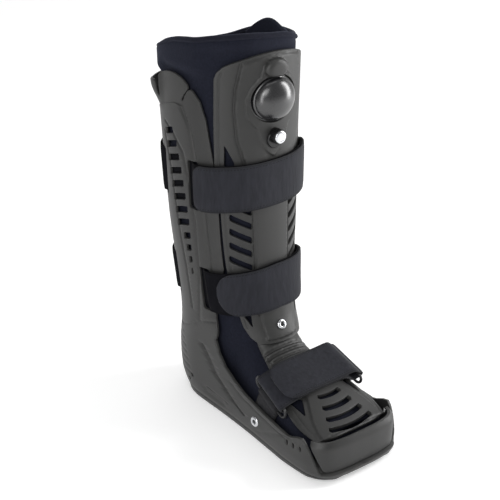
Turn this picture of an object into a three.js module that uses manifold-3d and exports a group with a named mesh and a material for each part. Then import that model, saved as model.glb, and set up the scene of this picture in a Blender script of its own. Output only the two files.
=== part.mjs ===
// A tall walking boot: a hard rear shell with a rocker sole, a shin shell with an air pump,
// an instep shell, a padded liner and three straps. Millimetres, +Z up, toes towards -Y.

import * as THREE from 'three';
import { mergeVertices } from 'three/addons/utils/BufferGeometryUtils.js';
import Module from 'manifold-3d';

const wasm = await Module();
wasm.setup();

// Driving sizes. The leg's axis is x = 0, y = 0 while the boot is laid out.
const shellTop = 420;
const calfHalf = 68;
const calfBack = 84;
const shinFront = 70;
const toeReach = 222;
const quarterTop = 50;
const deckTop = 20;
const soleThick = 6;
const lipTop = 13.3;
const toeStep = 5;
const toeSideStep = 1.2;
const shellWall = 3;
const relief = 1.8;
const fit = 0.3;
const linerTop = 431;
const linerThick = 7;
const bootieThick = 4;
const strapThick = 2.2;
const strapRoom = 3.5;
const calfStrapWidth = 50;
const calfStrapHeight = 272;
const ankleStrapWidth = 48;
const ankleStrapHeight = 153.5;
const footStrapWidth = 47;
const bulbRadius = 24.6;
const bulbHeight = 19;
const bulbWall = 2;
const knobRadius = 7.6;
const knobLength = 10.5;
const buttonRadius = 6;
const buttonTravel = 2.2;
const rivetRadius = 5;
const shankRadius = 2.4;
const ringLength = 58;
const ringWidth = 14;
const ringBar = 3;
const valveGap = 27;
const pumpGap = 8.8;

// The valve stands clear above the calf strap, and the pump bulb clear above the valve.
const valveHeight = calfStrapHeight + calfStrapWidth / 2 + valveGap;
const pumpHeight = valveHeight + knobRadius + bulbRadius + pumpGap;

const lerp = THREE.MathUtils.lerp;
const radians = THREE.MathUtils.degToRad;

// The plan outline is a superellipse of this power.
const outlinePower = 2.3;

// Leg and foot sections. Columns: height, half width, reach back, reach front,
// as shares of shellTop, calfHalf, calfBack and shinFront.
const bodyRows = [
  [0.012, 0.7, 0.714, 1.36],
  [0.071, 0.725, 0.821, 1.36],
  [0.143, 0.745, 0.821, 1.36],
  [0.226, 0.765, 0.738, 1.34],
  [0.298, 0.801, 0.714, 1.136],
  [0.429, 0.89, 0.762, 1.0],
  [0.536, 0.941, 0.833, 0.971],
  [0.774, 0.978, 0.964, 0.957],
  [0.881, 0.993, 1.0, 0.971],
  [1.03, 1.0, 1.0, 1.0],
];

// Sole outline from the leg's axis to the toe. Columns: reach, half width,
// as shares of toeReach and of the half width at the same height.
const footPlan = [
  [0, 1],
  [0.19, 1.02],
  [0.38, 1.07],
  [0.57, 1.15],
  [0.71, 1.21],
  [0.83, 1.225],
  [0.9, 1.185],
  [0.953, 1.07],
  [0.984, 0.86],
  [0.998, 0.46],
  [1, 0],
];
const quarterSteps = footPlan.length - 1;

// Heights between which the foot's outline turns into the leg's, as shares of shellTop.
const footEnds = 0.138;
const legBegins = 0.31;

// Front edge of the rear shell up the leg. Columns: height, reach, of shellTop and shinFront.
const rearEdge = [
  [0.142, 0.971],
  [0.164, 0.734],
  [0.193, 0.581],
  [0.226, 0.501],
  [0.291, 0.509],
  [0.357, 0.585],
  [0.434, 0.67],
  [0.599, 0.633],
  [0.717, 0.581],
  [0.822, 0.496],
  [0.866, 0.41],
  [0.889, 0.256],
];

// Top of the rear shell, front to back: notch, side lobe, slit and back tab.
// Columns: height share of shellTop, reach back as a share of calfBack.
const rearCrown = [
  [0.857, -0.065],
  [0.899, -0.167],
  [0.91, -0.09],
  [0.917, 0.08],
  [0.915, 0.29],
  [0.907, 0.45],
  [0.843, 0.465],
  [0.843, 0.505],
  [0.883, 0.53],
  [0.872, 0.72],
  [0.868, 1.6],
];
const tabStarts = 0.5;
const tabFlare = 9;
const tabBend = [0.8, 0.87];

// Top edge of the sole's side wall towards the toe. Columns: reach, height,
// of toeReach and quarterTop. The last rows run down the seam with the toe cap.
const quarterEdge = [
  [0.378, 1.048],
  [0.472, 0.986],
  [0.564, 0.934],
  [0.664, 0.914],
  [0.752, 0.866],
  [0.785, 0.886],
  [0.829, 1.02],
];
const toeSeam = [
  [0.829, 1.02],
  [0.871, 0.782],
  [0.896, 0.536],
  [0.914, 0.332],
  [0.932, 0.266],
];

// Underside of the shell and of the outsole, heel to toe. Columns: reach back share of
// calfBack, height of the shell's underside and of the tread, as multiples of soleThick.
const soleHeel = [
  [0.36, 1, 0],
  [0.57, 1.45, 0.5],
  [0.72, 2.4, 1.6],
];
const soleToe = [
  [0.66, 1, 0],
  [0.86, 1.2, 0.4],
  [0.955, 1.4, 1.0],
];

// Side edge of the shin shell and edge of its raised panel. Columns: height, reach of the
// side edge, half width of the panel, as shares of shellTop, shinFront and calfHalf.
const shinRows = [
  [0.24, 0.97, 0.31],
  [0.31, 0.87, 0.31],
  [0.36, 0.785, 0.31],
  [0.434, 0.705, 0.31],
  [0.595, 0.657, 0.33],
  [0.717, 0.594, 0.46],
  [0.778, 0.597, 0.568],
  [0.857, 0.61, 0.607],
  [0.905, 0.635, 0.594],
  [0.968, 0.66, 0.52],
];

// Columns of the shin shell from its side edge to the middle. Each has its place between
// the middle and the panel's edge, or beyond it, and its lower and upper end.
const shinColumns = [
  { beyond: 1, low: 0.307, high: 0.93 },
  { beyond: 0.72, low: 0.272, high: 0.955 },
  { beyond: 0.36, low: 0.25, high: 0.963 },
  { beyond: 0, low: 0.242, high: 0.968 },
  { inside: 0.9, low: 0.241, high: 0.97 },
  { inside: 0.45, low: 0.241, high: 0.978 },
  { inside: 0, low: 0.241, high: 0.981 },
];
const shinSteps = [0, 0.07, 0.16, 0.28, 0.42, 0.56, 0.7, 0.8, 0.9, 1];

// Middle line of the instep shell from under the shin shell to the toes. Columns: reach of
// its neck, way from the neck to the toes, height, half width, droop of the edges, ridge's
// place across, raised or not, as shares of shinFront, the rest of toeReach, shellTop,
// calfHalf, calfHalf and half width.
const neckShare = 1.234;
const instepRows = [
  [0.977, 0, 0.357, 0.39, 0.147, 0.5, 0],
  [1.047, 0, 0.298, 0.39, 0.147, 0.5, 0],
  [1.132, 0, 0.262, 0.4, 0.16, 0.5, 0],
  [neckShare, 0, 0.24, 0.41, 0.175, 0.5, 0],
  [neckShare, 0.064, 0.226, 0.425, 0.19, 0.5, 0],
  [neckShare, 0.123, 0.215, 0.44, 0.195, 0.5, 0],
  [neckShare, 0.182, 0.206, 0.475, 0.21, 0.5, 0],
  [neckShare, 0.285, 0.194, 0.56, 0.25, 0.5, 0],
  [neckShare, 0.395, 0.181, 0.64, 0.28, 0.5, 1],
  [neckShare, 0.506, 0.168, 0.7, 0.29, 0.56, 1],
  [neckShare, 0.602, 0.155, 0.735, 0.27, 0.66, 1],
  [neckShare, 0.69, 0.14, 0.755, 0.21, 0.75, 1],
  [neckShare, 0.779, 0.124, 0.735, 0.13, 0.85, 1],
  [neckShare, 0.87, 0.11, 0.68, 0.07, 0.93, 1],
].map(([neck, way, ...form]) => {
  const reach = lerp(neck * shinFront, toeReach, way);
  return [reach / toeReach, ...form];
});

// Columns of the instep shell from its edge to the middle. Place runs from 0 at the middle to
// 1 at the ridge and 2 at the edge; the second value says whether the column is raised.
const instepColumns = [
  [2, 0],
  [1.4, 0],
  [1, 0],
  [0.93, 1],
  [0.5, 1],
  [0, 1],
];
const ribPitch = 5.4;
const ribDepth = 1.3;
const ribCount = 3;
const firstRib = 0.245;

// Slots over the toes. Columns: reach of the middle, half width, of toeReach and calfHalf.
const toeSlots = [
  [0.737, 0.2],
  [0.795, 0.26],
  [0.848, 0.33],
  [0.898, 0.4],
];
const slotWidth = 5;
const slotBow = 0.22;
const slotFloor = 0.75 * quarterTop;

// Liner's foot, ankle to toes. Columns: reach, top, half width,
// as shares of toeReach, shellTop and of the room between the sole's side walls.
const bootieRows = [
  [0.02, 0.3, 0.86],
  [0.25, 0.285, 0.86],
  [0.34, 0.245, 0.88],
  [0.4, 0.208, 0.9],
  [0.48, 0.19, 0.93],
  [0.6, 0.168, 0.97],
  [0.7, 0.15, 0.97],
  [0.78, 0.131, 0.97],
  [0.86, 0.108, 0.94],
];

// Liner's rim round the leg from the front to the back. Columns: angle, height share of
// linerTop on the left and on the right.
const rimRows = [
  [0, 0.994, 0.994],
  [30, 0.99, 0.996],
  [60, 0.984, 0.992],
  [90, 0.977, 0.975],
  [115, 0.955, 0.945],
  [140, 0.925, 0.92],
  [180, 0.905, 0.905],
];

// How tables are read between their rows.
function blendStep(low, high, value) {
  return THREE.MathUtils.smoothstep(value, low, high);
}

function rowBefore(rows, at) {
  let index = 0;
  while (index < rows.length - 2 && rows[index + 1][0] < at) {
    index += 1;
  }
  return index;
}

function linear(rows, at, column) {
  const index = rowBefore(rows, at);
  const [low, high] = [rows[index], rows[index + 1]];
  const share = THREE.MathUtils.clamp((at - low[0]) / (high[0] - low[0]), 0, 1);
  return lerp(low[column], high[column], share);
}

function smooth(rows, at, column) {
  const index = rowBefore(rows, at);
  const slope = (row) => {
    const before = rows[Math.max(row - 1, 0)];
    const after = rows[Math.min(row + 1, rows.length - 1)];
    return (after[column] - before[column]) / (after[0] - before[0]);
  };
  const [low, high] = [rows[index], rows[index + 1]];
  const span = high[0] - low[0];
  const t = THREE.MathUtils.clamp((at - low[0]) / span, 0, 1);
  const rise = t * t * (3 - 2 * t);
  const lead = t * (1 - t) * (1 - t) * span * slope(index);
  const tail = t * t * (t - 1) * span * slope(index + 1);
  return lerp(low[column], high[column], rise) + lead + tail;
}

// Closed solids from points, and from three.js geometries.
function solidOf(points, faces) {
  const kept = [];
  for (let i = 0; i < faces.length; i += 3) {
    const [a, b, c] = faces.slice(i, i + 3);
    if (a !== b && b !== c && c !== a) {
      kept.push(a, b, c);
    }
  }
  let volume = 0;
  for (let i = 0; i < kept.length; i += 3) {
    const [a, b, c] = kept.slice(i, i + 3).map((index) => new THREE.Vector3(...points[index]));
    volume += a.dot(b.cross(c));
  }
  const turned = volume < 0 ? kept.reverse() : kept;
  return new wasm.Manifold(new wasm.Mesh({
    numProp: 3,
    vertProperties: new Float32Array(points.flat()),
    triVerts: new Uint32Array(turned),
  }));
}

function solid(geometry, matrix = new THREE.Matrix4()) {
  const bare = geometry.clone().applyMatrix4(matrix);
  bare.deleteAttribute('normal');
  bare.deleteAttribute('uv');
  const merged = mergeVertices(bare, 1e-4);
  const place = merged.attributes.position;
  const points = [];
  for (let i = 0; i < place.count; i += 1) {
    points.push([place.getX(i), place.getY(i), place.getZ(i)]);
  }
  return solidOf(points, Array.from(merged.index.array));
}

function loft(rings, loop = false) {
  const count = rings[0].length;
  const points = rings.flat();
  const faces = [];
  const spans = loop ? rings.length : rings.length - 1;
  for (let ring = 0; ring < spans; ring += 1) {
    const next = (ring + 1) % rings.length;
    for (let i = 0; i < count; i += 1) {
      const j = (i + 1) % count;
      const [a, b] = [ring * count + i, ring * count + j];
      const [c, d] = [next * count + j, next * count + i];
      faces.push(a, b, c, a, c, d);
    }
  }
  if (!loop) {
    [rings[0], rings[rings.length - 1]].forEach((ring, end) => {
      const middle = [0, 1, 2].map((axis) => ring.reduce((sum, p) => sum + p[axis], 0) / count);
      const hub = points.push(middle) - 1;
      const first = end * (rings.length - 1) * count;
      for (let i = 0; i < count; i += 1) {
        const j = (i + 1) % count;
        const edge = end ? [first + i, first + j] : [first + j, first + i];
        faces.push(...edge, hub);
      }
    });
  }
  return solidOf(points, faces);
}

function patch(outer, inner) {
  const [rows, cols] = [outer.length, outer[0].length];
  const points = [...outer.flat(), ...inner.flat()];
  const under = rows * cols;
  const faces = [];
  for (let r = 0; r < rows - 1; r += 1) {
    for (let c = 0; c < cols - 1; c += 1) {
      const a = r * cols + c;
      const b = a + 1;
      const d = a + cols;
      faces.push(a, b, d + 1, a, d + 1, d);
      faces.push(under + a, under + d + 1, under + b, under + a, under + d, under + d + 1);
    }
  }
  const rim = [];
  for (let c = 0; c < cols - 1; c += 1) {
    rim.push(c);
  }
  for (let r = 0; r < rows - 1; r += 1) {
    rim.push(r * cols + cols - 1);
  }
  for (let c = cols - 1; c > 0; c -= 1) {
    rim.push((rows - 1) * cols + c);
  }
  for (let r = rows - 1; r > 0; r -= 1) {
    rim.push(r * cols);
  }
  rim.forEach((p, i) => {
    const q = rim[(i + 1) % rim.length];
    faces.push(q, p, under + p, q, under + p, under + q);
  });
  return solidOf(points, faces);
}

// A prism across the boot from a side-view outline of [y, z] points.
const sideView = new THREE.Matrix4().makeBasis(
  new THREE.Vector3(0, 1, 0),
  new THREE.Vector3(0, 0, 1),
  new THREE.Vector3(1, 0, 0),
);
function sidePrism(outline) {
  const shape = new THREE.Shape(outline.map(([y, z]) => new THREE.Vector2(y, z)));
  const depth = 4 * calfHalf;
  const geometry = new THREE.ExtrudeGeometry(shape, { depth, bevelEnabled: false });
  geometry.translate(0, 0, -depth / 2);
  return solid(geometry, sideView);
}

// A prism through the front from a front-view outline of [x, z] points.
const frontView = new THREE.Matrix4().makeBasis(
  new THREE.Vector3(1, 0, 0),
  new THREE.Vector3(0, 0, 1),
  new THREE.Vector3(0, -1, 0),
);
function frontPrism(outline) {
  const shape = new THREE.Shape(outline.map(([x, z]) => new THREE.Vector2(x, z)));
  const geometry = new THREE.ExtrudeGeometry(shape, { depth: 2 * shinFront, bevelEnabled: false });
  return solid(geometry, frontView);
}

// A turned solid with its axis along the given direction from a base point.
function turned(profile, base, direction, sides) {
  const outline = profile.map(([radius, along]) => new THREE.Vector2(radius, along));
  const spin = new THREE.Quaternion().setFromUnitVectors(new THREE.Vector3(0, 1, 0), direction);
  const matrix = new THREE.Matrix4().compose(base, spin, new THREE.Vector3(1, 1, 1));
  return solid(new THREE.LatheGeometry(outline, sides), matrix);
}

const forward = new THREE.Vector3(0, -1, 0);

// The boot's outer form. Angles run from the middle of the front, minus to the left.
function halfWidth(z) {
  return calfHalf * smooth(bodyRows, z / shellTop, 1);
}
function reachBack(z) {
  return calfBack * smooth(bodyRows, z / shellTop, 2);
}
function reachFront(z) {
  return shinFront * smooth(bodyRows, z / shellTop, 3);
}

function legPoint(angle, z, side, front = side, back = side) {
  const across = Math.abs(Math.sin(angle)) ** (2 / outlinePower);
  const along = Math.abs(Math.cos(angle)) ** (2 / outlinePower);
  const x = Math.sign(Math.sin(angle)) * (halfWidth(z) - side) * across;
  const y = Math.cos(angle) > 0 ? -(reachFront(z) - front) * along : (reachBack(z) - back) * along;
  return [x, y, z];
}

function angleAtReach(z, y, inset = 0) {
  const reach = (y < 0 ? reachFront(z) : reachBack(z)) - inset;
  const turn = Math.acos(Math.min(Math.abs(y) / reach, 1) ** (outlinePower / 2));
  return y < 0 ? turn : Math.PI - turn;
}

function angleAtWidth(z, x) {
  return Math.asin(Math.min(x / halfWidth(z), 1) ** (outlinePower / 2));
}

const linerSteps = 6;
function legRing(z, side, front, back, top = () => z) {
  const ring = [];
  for (let i = 0; i < 4 * linerSteps; i += 1) {
    const angle = (Math.PI / 2) * (i / linerSteps);
    const [x, y] = legPoint(angle, z, side, front, back);
    ring.push([x, y, top(angle)]);
  }
  return ring;
}

// Leg and foot in one ring. Low down the front half follows the sole's outline.
const backSteps = 14;
function bootRing(z, inset, reach = toeReach, flare = 0) {
  const leg = blendStep(footEnds * shellTop, legBegins * shellTop, z);
  const ring = [];
  for (let i = -quarterSteps; i < quarterSteps + backSteps; i += 1) {
    const inFront = i <= quarterSteps;
    const turn = inFront ? i / quarterSteps : 1 + (2 * (i - quarterSteps)) / backSteps;
    const angle = (Math.PI / 2) * turn;
    let [x, y] = legPoint(angle, z, inset);
    if (inFront) {
      const [alongFoot, acrossFoot] = footPlan[quarterSteps - Math.abs(i)];
      x = lerp(Math.sign(Math.sin(angle)) * (halfWidth(z) - inset) * acrossFoot, x, leg);
      y = lerp(-(reach - inset) * alongFoot, y, leg);
    }
    if (y > tabStarts * reachBack(z)) {
      const grown = 1 + flare / calfBack;
      x *= grown;
      y *= grown;
    }
    ring.push([x, y, z]);
  }
  return ring;
}

const shellHeights = [0.145, 0.2, 0.27, 0.31, 0.37, 0.45, 0.56, 0.64, 0.72, 0.8, 0.87, 0.95];
function bootLoft(lowest, inset, reach, bevel) {
  const rings = lowest.map((z, i) => bootRing(z, inset + bevel[i], reach));
  shellHeights.forEach((share) => {
    const z = share * shellTop;
    rings.push(bootRing(z, inset, reach, tabFlare * blendStep(...tabBend, share)));
  });
  return loft(rings);
}

// The side-view outline of the rear shell. The heel tucks up behind the sole to a point
// given as shares of calfBack and soleThick.
const farBack = 2 * calfBack;
const farFront = -1.2 * toeReach;
const undersideHeel = soleHeel.map(([back, under]) => [back * calfBack, under * soleThick]);
const undersideToe = soleToe.map(([reach, under]) => [-reach * toeReach, under * soleThick]);
const heelTuck = [0.95, 4.33];
const rearOutline = [
  ...rearEdge.map(([height, reach]) => [-reach * shinFront, height * shellTop]),
  ...rearCrown.map(([height, back]) => [back * calfBack, height * shellTop]),
  [farBack, deckTop],
  [heelTuck[0] * calfBack, heelTuck[1] * soleThick],
  ...undersideHeel.toReversed(),
  ...undersideToe,
  [farFront, undersideToe.at(-1)[1]],
  [farFront, lipTop],
  ...toeSeam.toReversed().map(([reach, height]) => [-reach * toeReach, height * quarterTop]),
  ...quarterEdge.slice(0, -1).toReversed()
    .map(([reach, height]) => [-reach * toeReach, height * quarterTop]),
];

// Straps leave the rear shell through a slot in front of the ladder of vents, and another
// behind it. Reaches are for the calf strap and the ankle strap.
const slotMargin = 1.6;
const calfSlots = { front: [0.14, 0.335], back: [0.42, 0.59] };
const ankleSlots = { front: [0.25, 0.44], back: [0.35, 0.52] };

function strapSlot(slots, height, width) {
  const tall = width / 2 + slotMargin;
  const openings = [
    [-slots.front[1] * shinFront, -slots.front[0] * shinFront],
    [slots.back[0] * calfBack, slots.back[1] * calfBack],
  ];
  return openings.map(([near, far]) => sidePrism([
    [near, height - tall],
    [far, height - tall],
    [far, height + tall],
    [near, height + tall],
  ]));
}

// The ladder of vents down each side. Columns: height share of shellTop, reach back
// share of calfBack, width share of ventWidth.
const ventWidth = 12.5;
const ventHeight = 6;
const ventSlope = 1;
const ventCount = 12;
const ladder = [
  [0.402, -0.07, 0.62],
  [0.47, -0.054, 0.8],
  [0.536, 0.018, 1],
  [0.67, 0.139, 1],
  [0.762, 0.298, 0.95],
];
function vents() {
  const cuts = [];
  for (let i = 0; i < ventCount; i += 1) {
    const height = lerp(ladder[0][0], ladder[ladder.length - 1][0], i / (ventCount - 1));
    const middle = smooth(ladder, height, 1) * calfBack;
    const half = (linear(ladder, height, 2) * ventWidth) / 2;
    const [low, high] = [height * shellTop - ventHeight / 2, height * shellTop + ventHeight / 2];
    cuts.push(sidePrism([
      [middle - half, low],
      [middle + half, low + ventSlope],
      [middle + half, high + ventSlope],
      [middle - half, high],
    ]));
  }
  return cuts;
}

// Rivet places on the sole's side walls and on the shin shell.
const footRivetReach = 0.484 * toeReach;
const footRivetHeight = 0.57 * quarterTop;
const ankleRivetHeight = 0.281 * shellTop;

// A straight hole for a rivet's shank, from a depth behind its seat to the same ahead.
function rivetBore(base, out, depth) {
  const radius = shankRadius + fit;
  const start = base.clone().addScaledVector(out, -depth);
  return turned([[0, 0], [radius, 0], [radius, 2 * depth], [0, 2 * depth]], start, out, 12);
}

function wallPoint(y, z, inset, side) {
  const ring = bootRing(z, inset).filter(([x]) => side * x > 0).sort((a, b) => a[1] - b[1]);
  return [linear(ring.map(([x, py]) => [py, x]), y, 1), y, z];
}

// Where a rivet sits on the sole's side wall, and the way straight out of the wall there.
function footRivetAxis(side) {
  const at = (dy, dz) => {
    const spot = wallPoint(-footRivetReach + dy, footRivetHeight + dz, 0, side);
    return new THREE.Vector3(...spot);
  };
  const along = at(rivetRadius, 0).sub(at(-rivetRadius, 0));
  const up = at(0, rivetRadius).sub(at(0, -rivetRadius));
  const out = along.cross(up).normalize();
  return { base: at(0, 0), out: out.x * side > 0 ? out : out.negate() };
}

function rearShell() {
  const [low, middle, high] = [soleThick - 1, 2 * soleThick, 4 * soleThick];
  const outer = bootLoft([low, middle, high], 0, toeReach, [1.5 * shellWall, shellWall / 3, 0]);
  const inner = bootLoft([deckTop, 1.6 * deckTop], shellWall, toeReach, [0, 0]);
  let shell = outer.subtract(inner).intersect(sidePrism(rearOutline));
  strapSlot(calfSlots, calfStrapHeight, calfStrapWidth).forEach((cut) => {
    shell = shell.subtract(cut);
  });
  strapSlot(ankleSlots, ankleStrapHeight, ankleStrapWidth).forEach((cut) => {
    shell = shell.subtract(cut);
  });
  vents().forEach((cut) => {
    shell = shell.subtract(cut);
  });
  [-1, 1].forEach((side) => {
    const { base, out } = footRivetAxis(side);
    shell = shell.subtract(rivetBore(base, out, 3 * shellWall));
  });
  return shell;
}

// The toe cap stands on the lip of the sole, a step back from it. The rows give the reach
// and height of its top edge, as shares of toeReach and quarterTop.
const capRim = [
  [1.2, 0.97],
  [0.87, 0.99],
];
function toeCap() {
  const reach = toeReach - toeStep;
  const outer = loft([lipTop + fit, 0.5 * quarterTop, 1.1 * quarterTop]
    .map((z) => bootRing(z, toeSideStep, reach + toeSideStep)));
  const bore = toeSideStep + shellWall;
  const inner = loft([deckTop, 1.2 * quarterTop].map((z) => bootRing(z, bore, reach + toeSideStep)));
  const seam = toeSeam.map(([share, height]) => [-share * toeReach - fit, height * quarterTop + fit / 2]);
  const bounds = sidePrism([
    ...seam,
    [farFront, lipTop + fit],
    ...capRim.map(([share, height]) => [-share * toeReach, height * quarterTop]),
  ]);
  return outer.subtract(inner).intersect(bounds);
}

// The rubber tread under the sole, flat in the middle and lifted at heel and toe.
function outsole() {
  const body = loft([-soleThick, 4 * soleThick].map((z) => {
    const level = Math.max(z, 0) / 4;
    return bootRing(level, soleThick / 2).map(([x, y]) => [x, y, z]);
  }));
  const under = (rows, sign, size, column) => rows
    .map((row) => [sign * row[0] * size, row[column] * soleThick]);
  const top = [...under(soleToe.toReversed(), -1, toeReach, 1), ...under(soleHeel, 1, calfBack, 1)];
  const tread = [...under(soleHeel.toReversed(), 1, calfBack, 2), ...under(soleToe, -1, toeReach, 2)];
  return body.intersect(sidePrism([...top.map(([y, z]) => [y, z - fit]), ...tread]));
}

// The shin shell: a curved plate with a raised middle panel.
function shinPoint(column, sign, step, inset, raised) {
  const z = shellTop * lerp(column.low, column.high, step);
  const share = z / shellTop;
  const edge = angleAtReach(z, -smooth(shinRows, share, 1) * shinFront, inset);
  const panel = Math.min(angleAtWidth(z, smooth(shinRows, share, 2) * calfHalf), 0.8 * edge);
  const angle = column.beyond === undefined ? panel * column.inside : lerp(panel, edge, column.beyond);
  const lift = raised && column.inside !== undefined ? relief : 0;
  return legPoint(sign * angle, z, inset - lift);
}

function shinGrid(inset, raised) {
  const left = shinColumns.map((column) => [column, -1]);
  const right = shinColumns.slice(0, -1).toReversed().map((column) => [column, 1]);
  return shinSteps.map((step) => [...left, ...right]
    .map(([column, sign]) => shinPoint(column, sign, step, inset, raised)));
}

const panelFront = reachFront(pumpHeight) + relief;
const bossFront = panelFront + 1.4;
const collarFront = bossFront + 2.6;
const bossRadius = bulbRadius + 3.2;
const bossRoot = 5;
const humpSize = [11.5, 11, 14];
const seatRadius = knobRadius + 2.5;
const seatFront = panelFront + 1.5;
const draft = 1;
const chevronCount = 5;
const chevronPitch = 14.6;
const chevronTop = 251;
const chevronHeight = 6.5;
const chevronReach = [0.37, 0.66];
const chevronDrop = 16;

function chevrons() {
  const cuts = [];
  for (let i = 0; i < chevronCount; i += 1) {
    const z = chevronTop - i * chevronPitch;
    [-1, 1].forEach((side) => {
      const [near, far] = chevronReach.map((share) => side * share * calfHalf);
      const outline = [
        [near, z - chevronDrop / 2 - chevronHeight / 2],
        [far, z + chevronDrop / 2 - chevronHeight / 2],
        [far, z + chevronDrop / 2 + chevronHeight / 2],
        [near, z - chevronDrop / 2 + chevronHeight / 2],
      ];
      cuts.push(frontPrism(side > 0 ? outline : outline.toReversed()));
    });
  }
  return cuts;
}

// Pointed vents above the calf strap and small ones on the ankle plate.
// Columns: reach across and height of each corner, of calfHalf and shellTop.
const pointedVents = [
  [[0.715, 0.765], [0.715, 0.69], [0.6, 0.69], [0.6, 0.72]],
  [[0.54, 0.318], [0.435, 0.318], [0.435, 0.282]],
];

function ankleRivetAxis() {
  const z = ankleRivetHeight;
  const slope = (reachFront(z - rivetRadius) - reachFront(z + rivetRadius)) / (2 * rivetRadius);
  const out = new THREE.Vector3(0, -1, slope).normalize();
  return { base: new THREE.Vector3(0, -(reachFront(z) + relief), z), out };
}

function shinShell() {
  let shell = patch(shinGrid(0, true), shinGrid(shellWall, false));
  const [collar, floor] = [collarFront, bossFront].map((front) => front - panelFront + bossRoot);
  const boss = turned(
    [
      [0, 0],
      [bossRadius + draft, 0],
      [bossRadius, collar - draft],
      [bossRadius - 2 * draft, collar],
      [bulbRadius + fit, collar],
      [bulbRadius + fit, floor],
      [0, floor],
    ],
    new THREE.Vector3(0, bossRoot - panelFront, pumpHeight),
    forward,
    20,
  );
  const hump = solid(
    new THREE.SphereGeometry(1, 10, 6),
    new THREE.Matrix4().makeScale(...humpSize).setPosition(0, draft - panelFront, pumpHeight + bossRadius),
  );
  const seatHigh = seatFront - panelFront + bossRoot;
  const seat = turned(
    [[0, 0], [seatRadius + draft, 0], [seatRadius, seatHigh], [0, seatHigh]],
    new THREE.Vector3(0, bossRoot - panelFront, valveHeight),
    forward,
    14,
  );
  const hollow = loft([0.72 * shellTop, pumpHeight, shellTop]
    .map((z) => legRing(z, shellWall, shellWall, shellWall)));
  const well = turned(
    [[0, 0], [bulbRadius + fit, 0], [bulbRadius + fit, bulbHeight], [0, bulbHeight]],
    new THREE.Vector3(0, -bossFront, pumpHeight),
    forward,
    20,
  );
  shell = shell.add(boss.add(hump).add(seat).subtract(hollow)).subtract(well);
  chevrons().forEach((cut) => {
    shell = shell.subtract(cut);
  });
  pointedVents.forEach((corners) => {
    [-1, 1].forEach((side) => {
      const outline = corners.map(([x, z]) => [side * x * calfHalf, z * shellTop]);
      shell = shell.subtract(frontPrism(outline));
    });
  });
  const { base, out } = ankleRivetAxis();
  return shell.subtract(rivetBore(base, out, 4 * shellWall));
}

// The instep shell: arched stations along its middle line, ribbed at the ankle,
// raised between two ridges over the toes.
const instepLine = new THREE.CatmullRomCurve3(
  instepRows.map(([reach, height]) => new THREE.Vector3(0, -reach * toeReach, height * shellTop)),
);

function instepStations(ribbed) {
  const stops = instepRows.map((row, i) => [i / (instepRows.length - 1), 0]);
  if (!ribbed) {
    return stops;
  }
  const length = instepLine.getLength();
  const ribs = [];
  for (let i = 0; i <= 2 * ribCount; i += 1) {
    ribs.push([firstRib + (i * ribPitch) / 2 / length, i % 2 ? ribDepth : 0]);
  }
  const [nearest, lastRib] = [0.02, ribs.at(-1)[0]];
  const plain = stops.filter(([share]) => share < firstRib - nearest || share > lastRib + nearest);
  return [...plain, ...ribs].sort((a, b) => a[0] - b[0]);
}

const archRadius = 40;
function instepGrid(inset, raised, hem = 0) {
  const columns = instepColumns.filter(([, lift]) => !(hem && lift))
    .map(([place, lift]) => ({ place, lift }));
  const left = columns.map((column) => [column, -1]);
  const right = columns.slice(0, -1).toReversed().map((column) => [column, 1]);
  return instepStations(hem === 0).map(([u, groove]) => {
    const place = instepLine.getPointAt(u);
    const tangent = instepLine.getTangentAt(u);
    const normal = new THREE.Vector3(0, tangent.z, -tangent.y);
    const reach = -place.y / toeReach;
    const [half, droop, ridge, high] = [2, 3, 4, 5].map((column) => linear(instepRows, reach, column));
    return [...left, ...right].map(([column, side]) => {
      const across = column.place > 1 ? lerp(ridge, 1, column.place - 1) : ridge * column.place;
      const fall = droop * calfHalf * (1 - (1 - across ** outlinePower) ** (1 / outlinePower));
      const lift = raised ? column.lift * high * relief - groove * (1 - across ** 4) : 0;
      const shrink = 1 - inset / (half * calfHalf);
      const lower = column.place === 2 ? hem : 0;
      const down = inset + lower + fall * (1 - inset / archRadius);
      const point = place.clone().addScaledVector(normal, lift - down);
      return [side * across * half * calfHalf * shrink, point.y, point.z];
    });
  });
}

function toeSlotCuts() {
  return toeSlots.map(([reach, half]) => {
    const [y, w] = [-reach * toeReach, half * calfHalf];
    const edge = (share, offset) => new THREE.Vector2(share * w, y + w * slotBow * share ** 2 + offset);
    const marks = [-1, -0.5, 0, 0.5, 1];
    const front = marks.map((share) => edge(share, -slotWidth / 2));
    const back = marks.toReversed().map((share) => edge(share, slotWidth / 2));
    const shape = new THREE.Shape([...front, ...back]);
    const geometry = new THREE.ExtrudeGeometry(shape, { depth: quarterTop, bevelEnabled: false });
    return solid(geometry, new THREE.Matrix4().makeTranslation(0, 0, slotFloor));
  });
}

// Three-cornered vents beside the toe slots. Columns: reach across, reach forward.
const toeCorners = [
  [0.36, 0.685],
  [0.55, 0.67],
  [0.49, 0.765],
];

function instepShell() {
  let shell = patch(instepGrid(0, true), instepGrid(shellWall, false));
  toeSlotCuts().forEach((cut) => {
    shell = shell.subtract(cut);
  });
  [-1, 1].forEach((side) => {
    const shape = new THREE.Shape(toeCorners
      .map(([x, y]) => new THREE.Vector2(side * x * calfHalf, -y * toeReach)));
    const geometry = new THREE.ExtrudeGeometry(shape, { depth: quarterTop, bevelEnabled: false });
    const raise = new THREE.Matrix4().makeTranslation(0, 0, slotFloor);
    shell = shell.subtract(solid(geometry, raise));
  });
  const { base, out } = ankleRivetAxis();
  return shell.subtract(rivetBore(base, out, 6 * shellWall));
}

// The padded liner: a sleeve round the leg joined to an open-toed bootie.
const linerSide = shellWall + strapRoom;
const neckRoom = 2 * shellWall + 4;
const linerFloor = deckTop + fit;
const cutPast = 20;
const sleeveHeights = [0.11, 0.2, 0.28, 0.37, 0.47, 0.62, 0.8];

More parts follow.
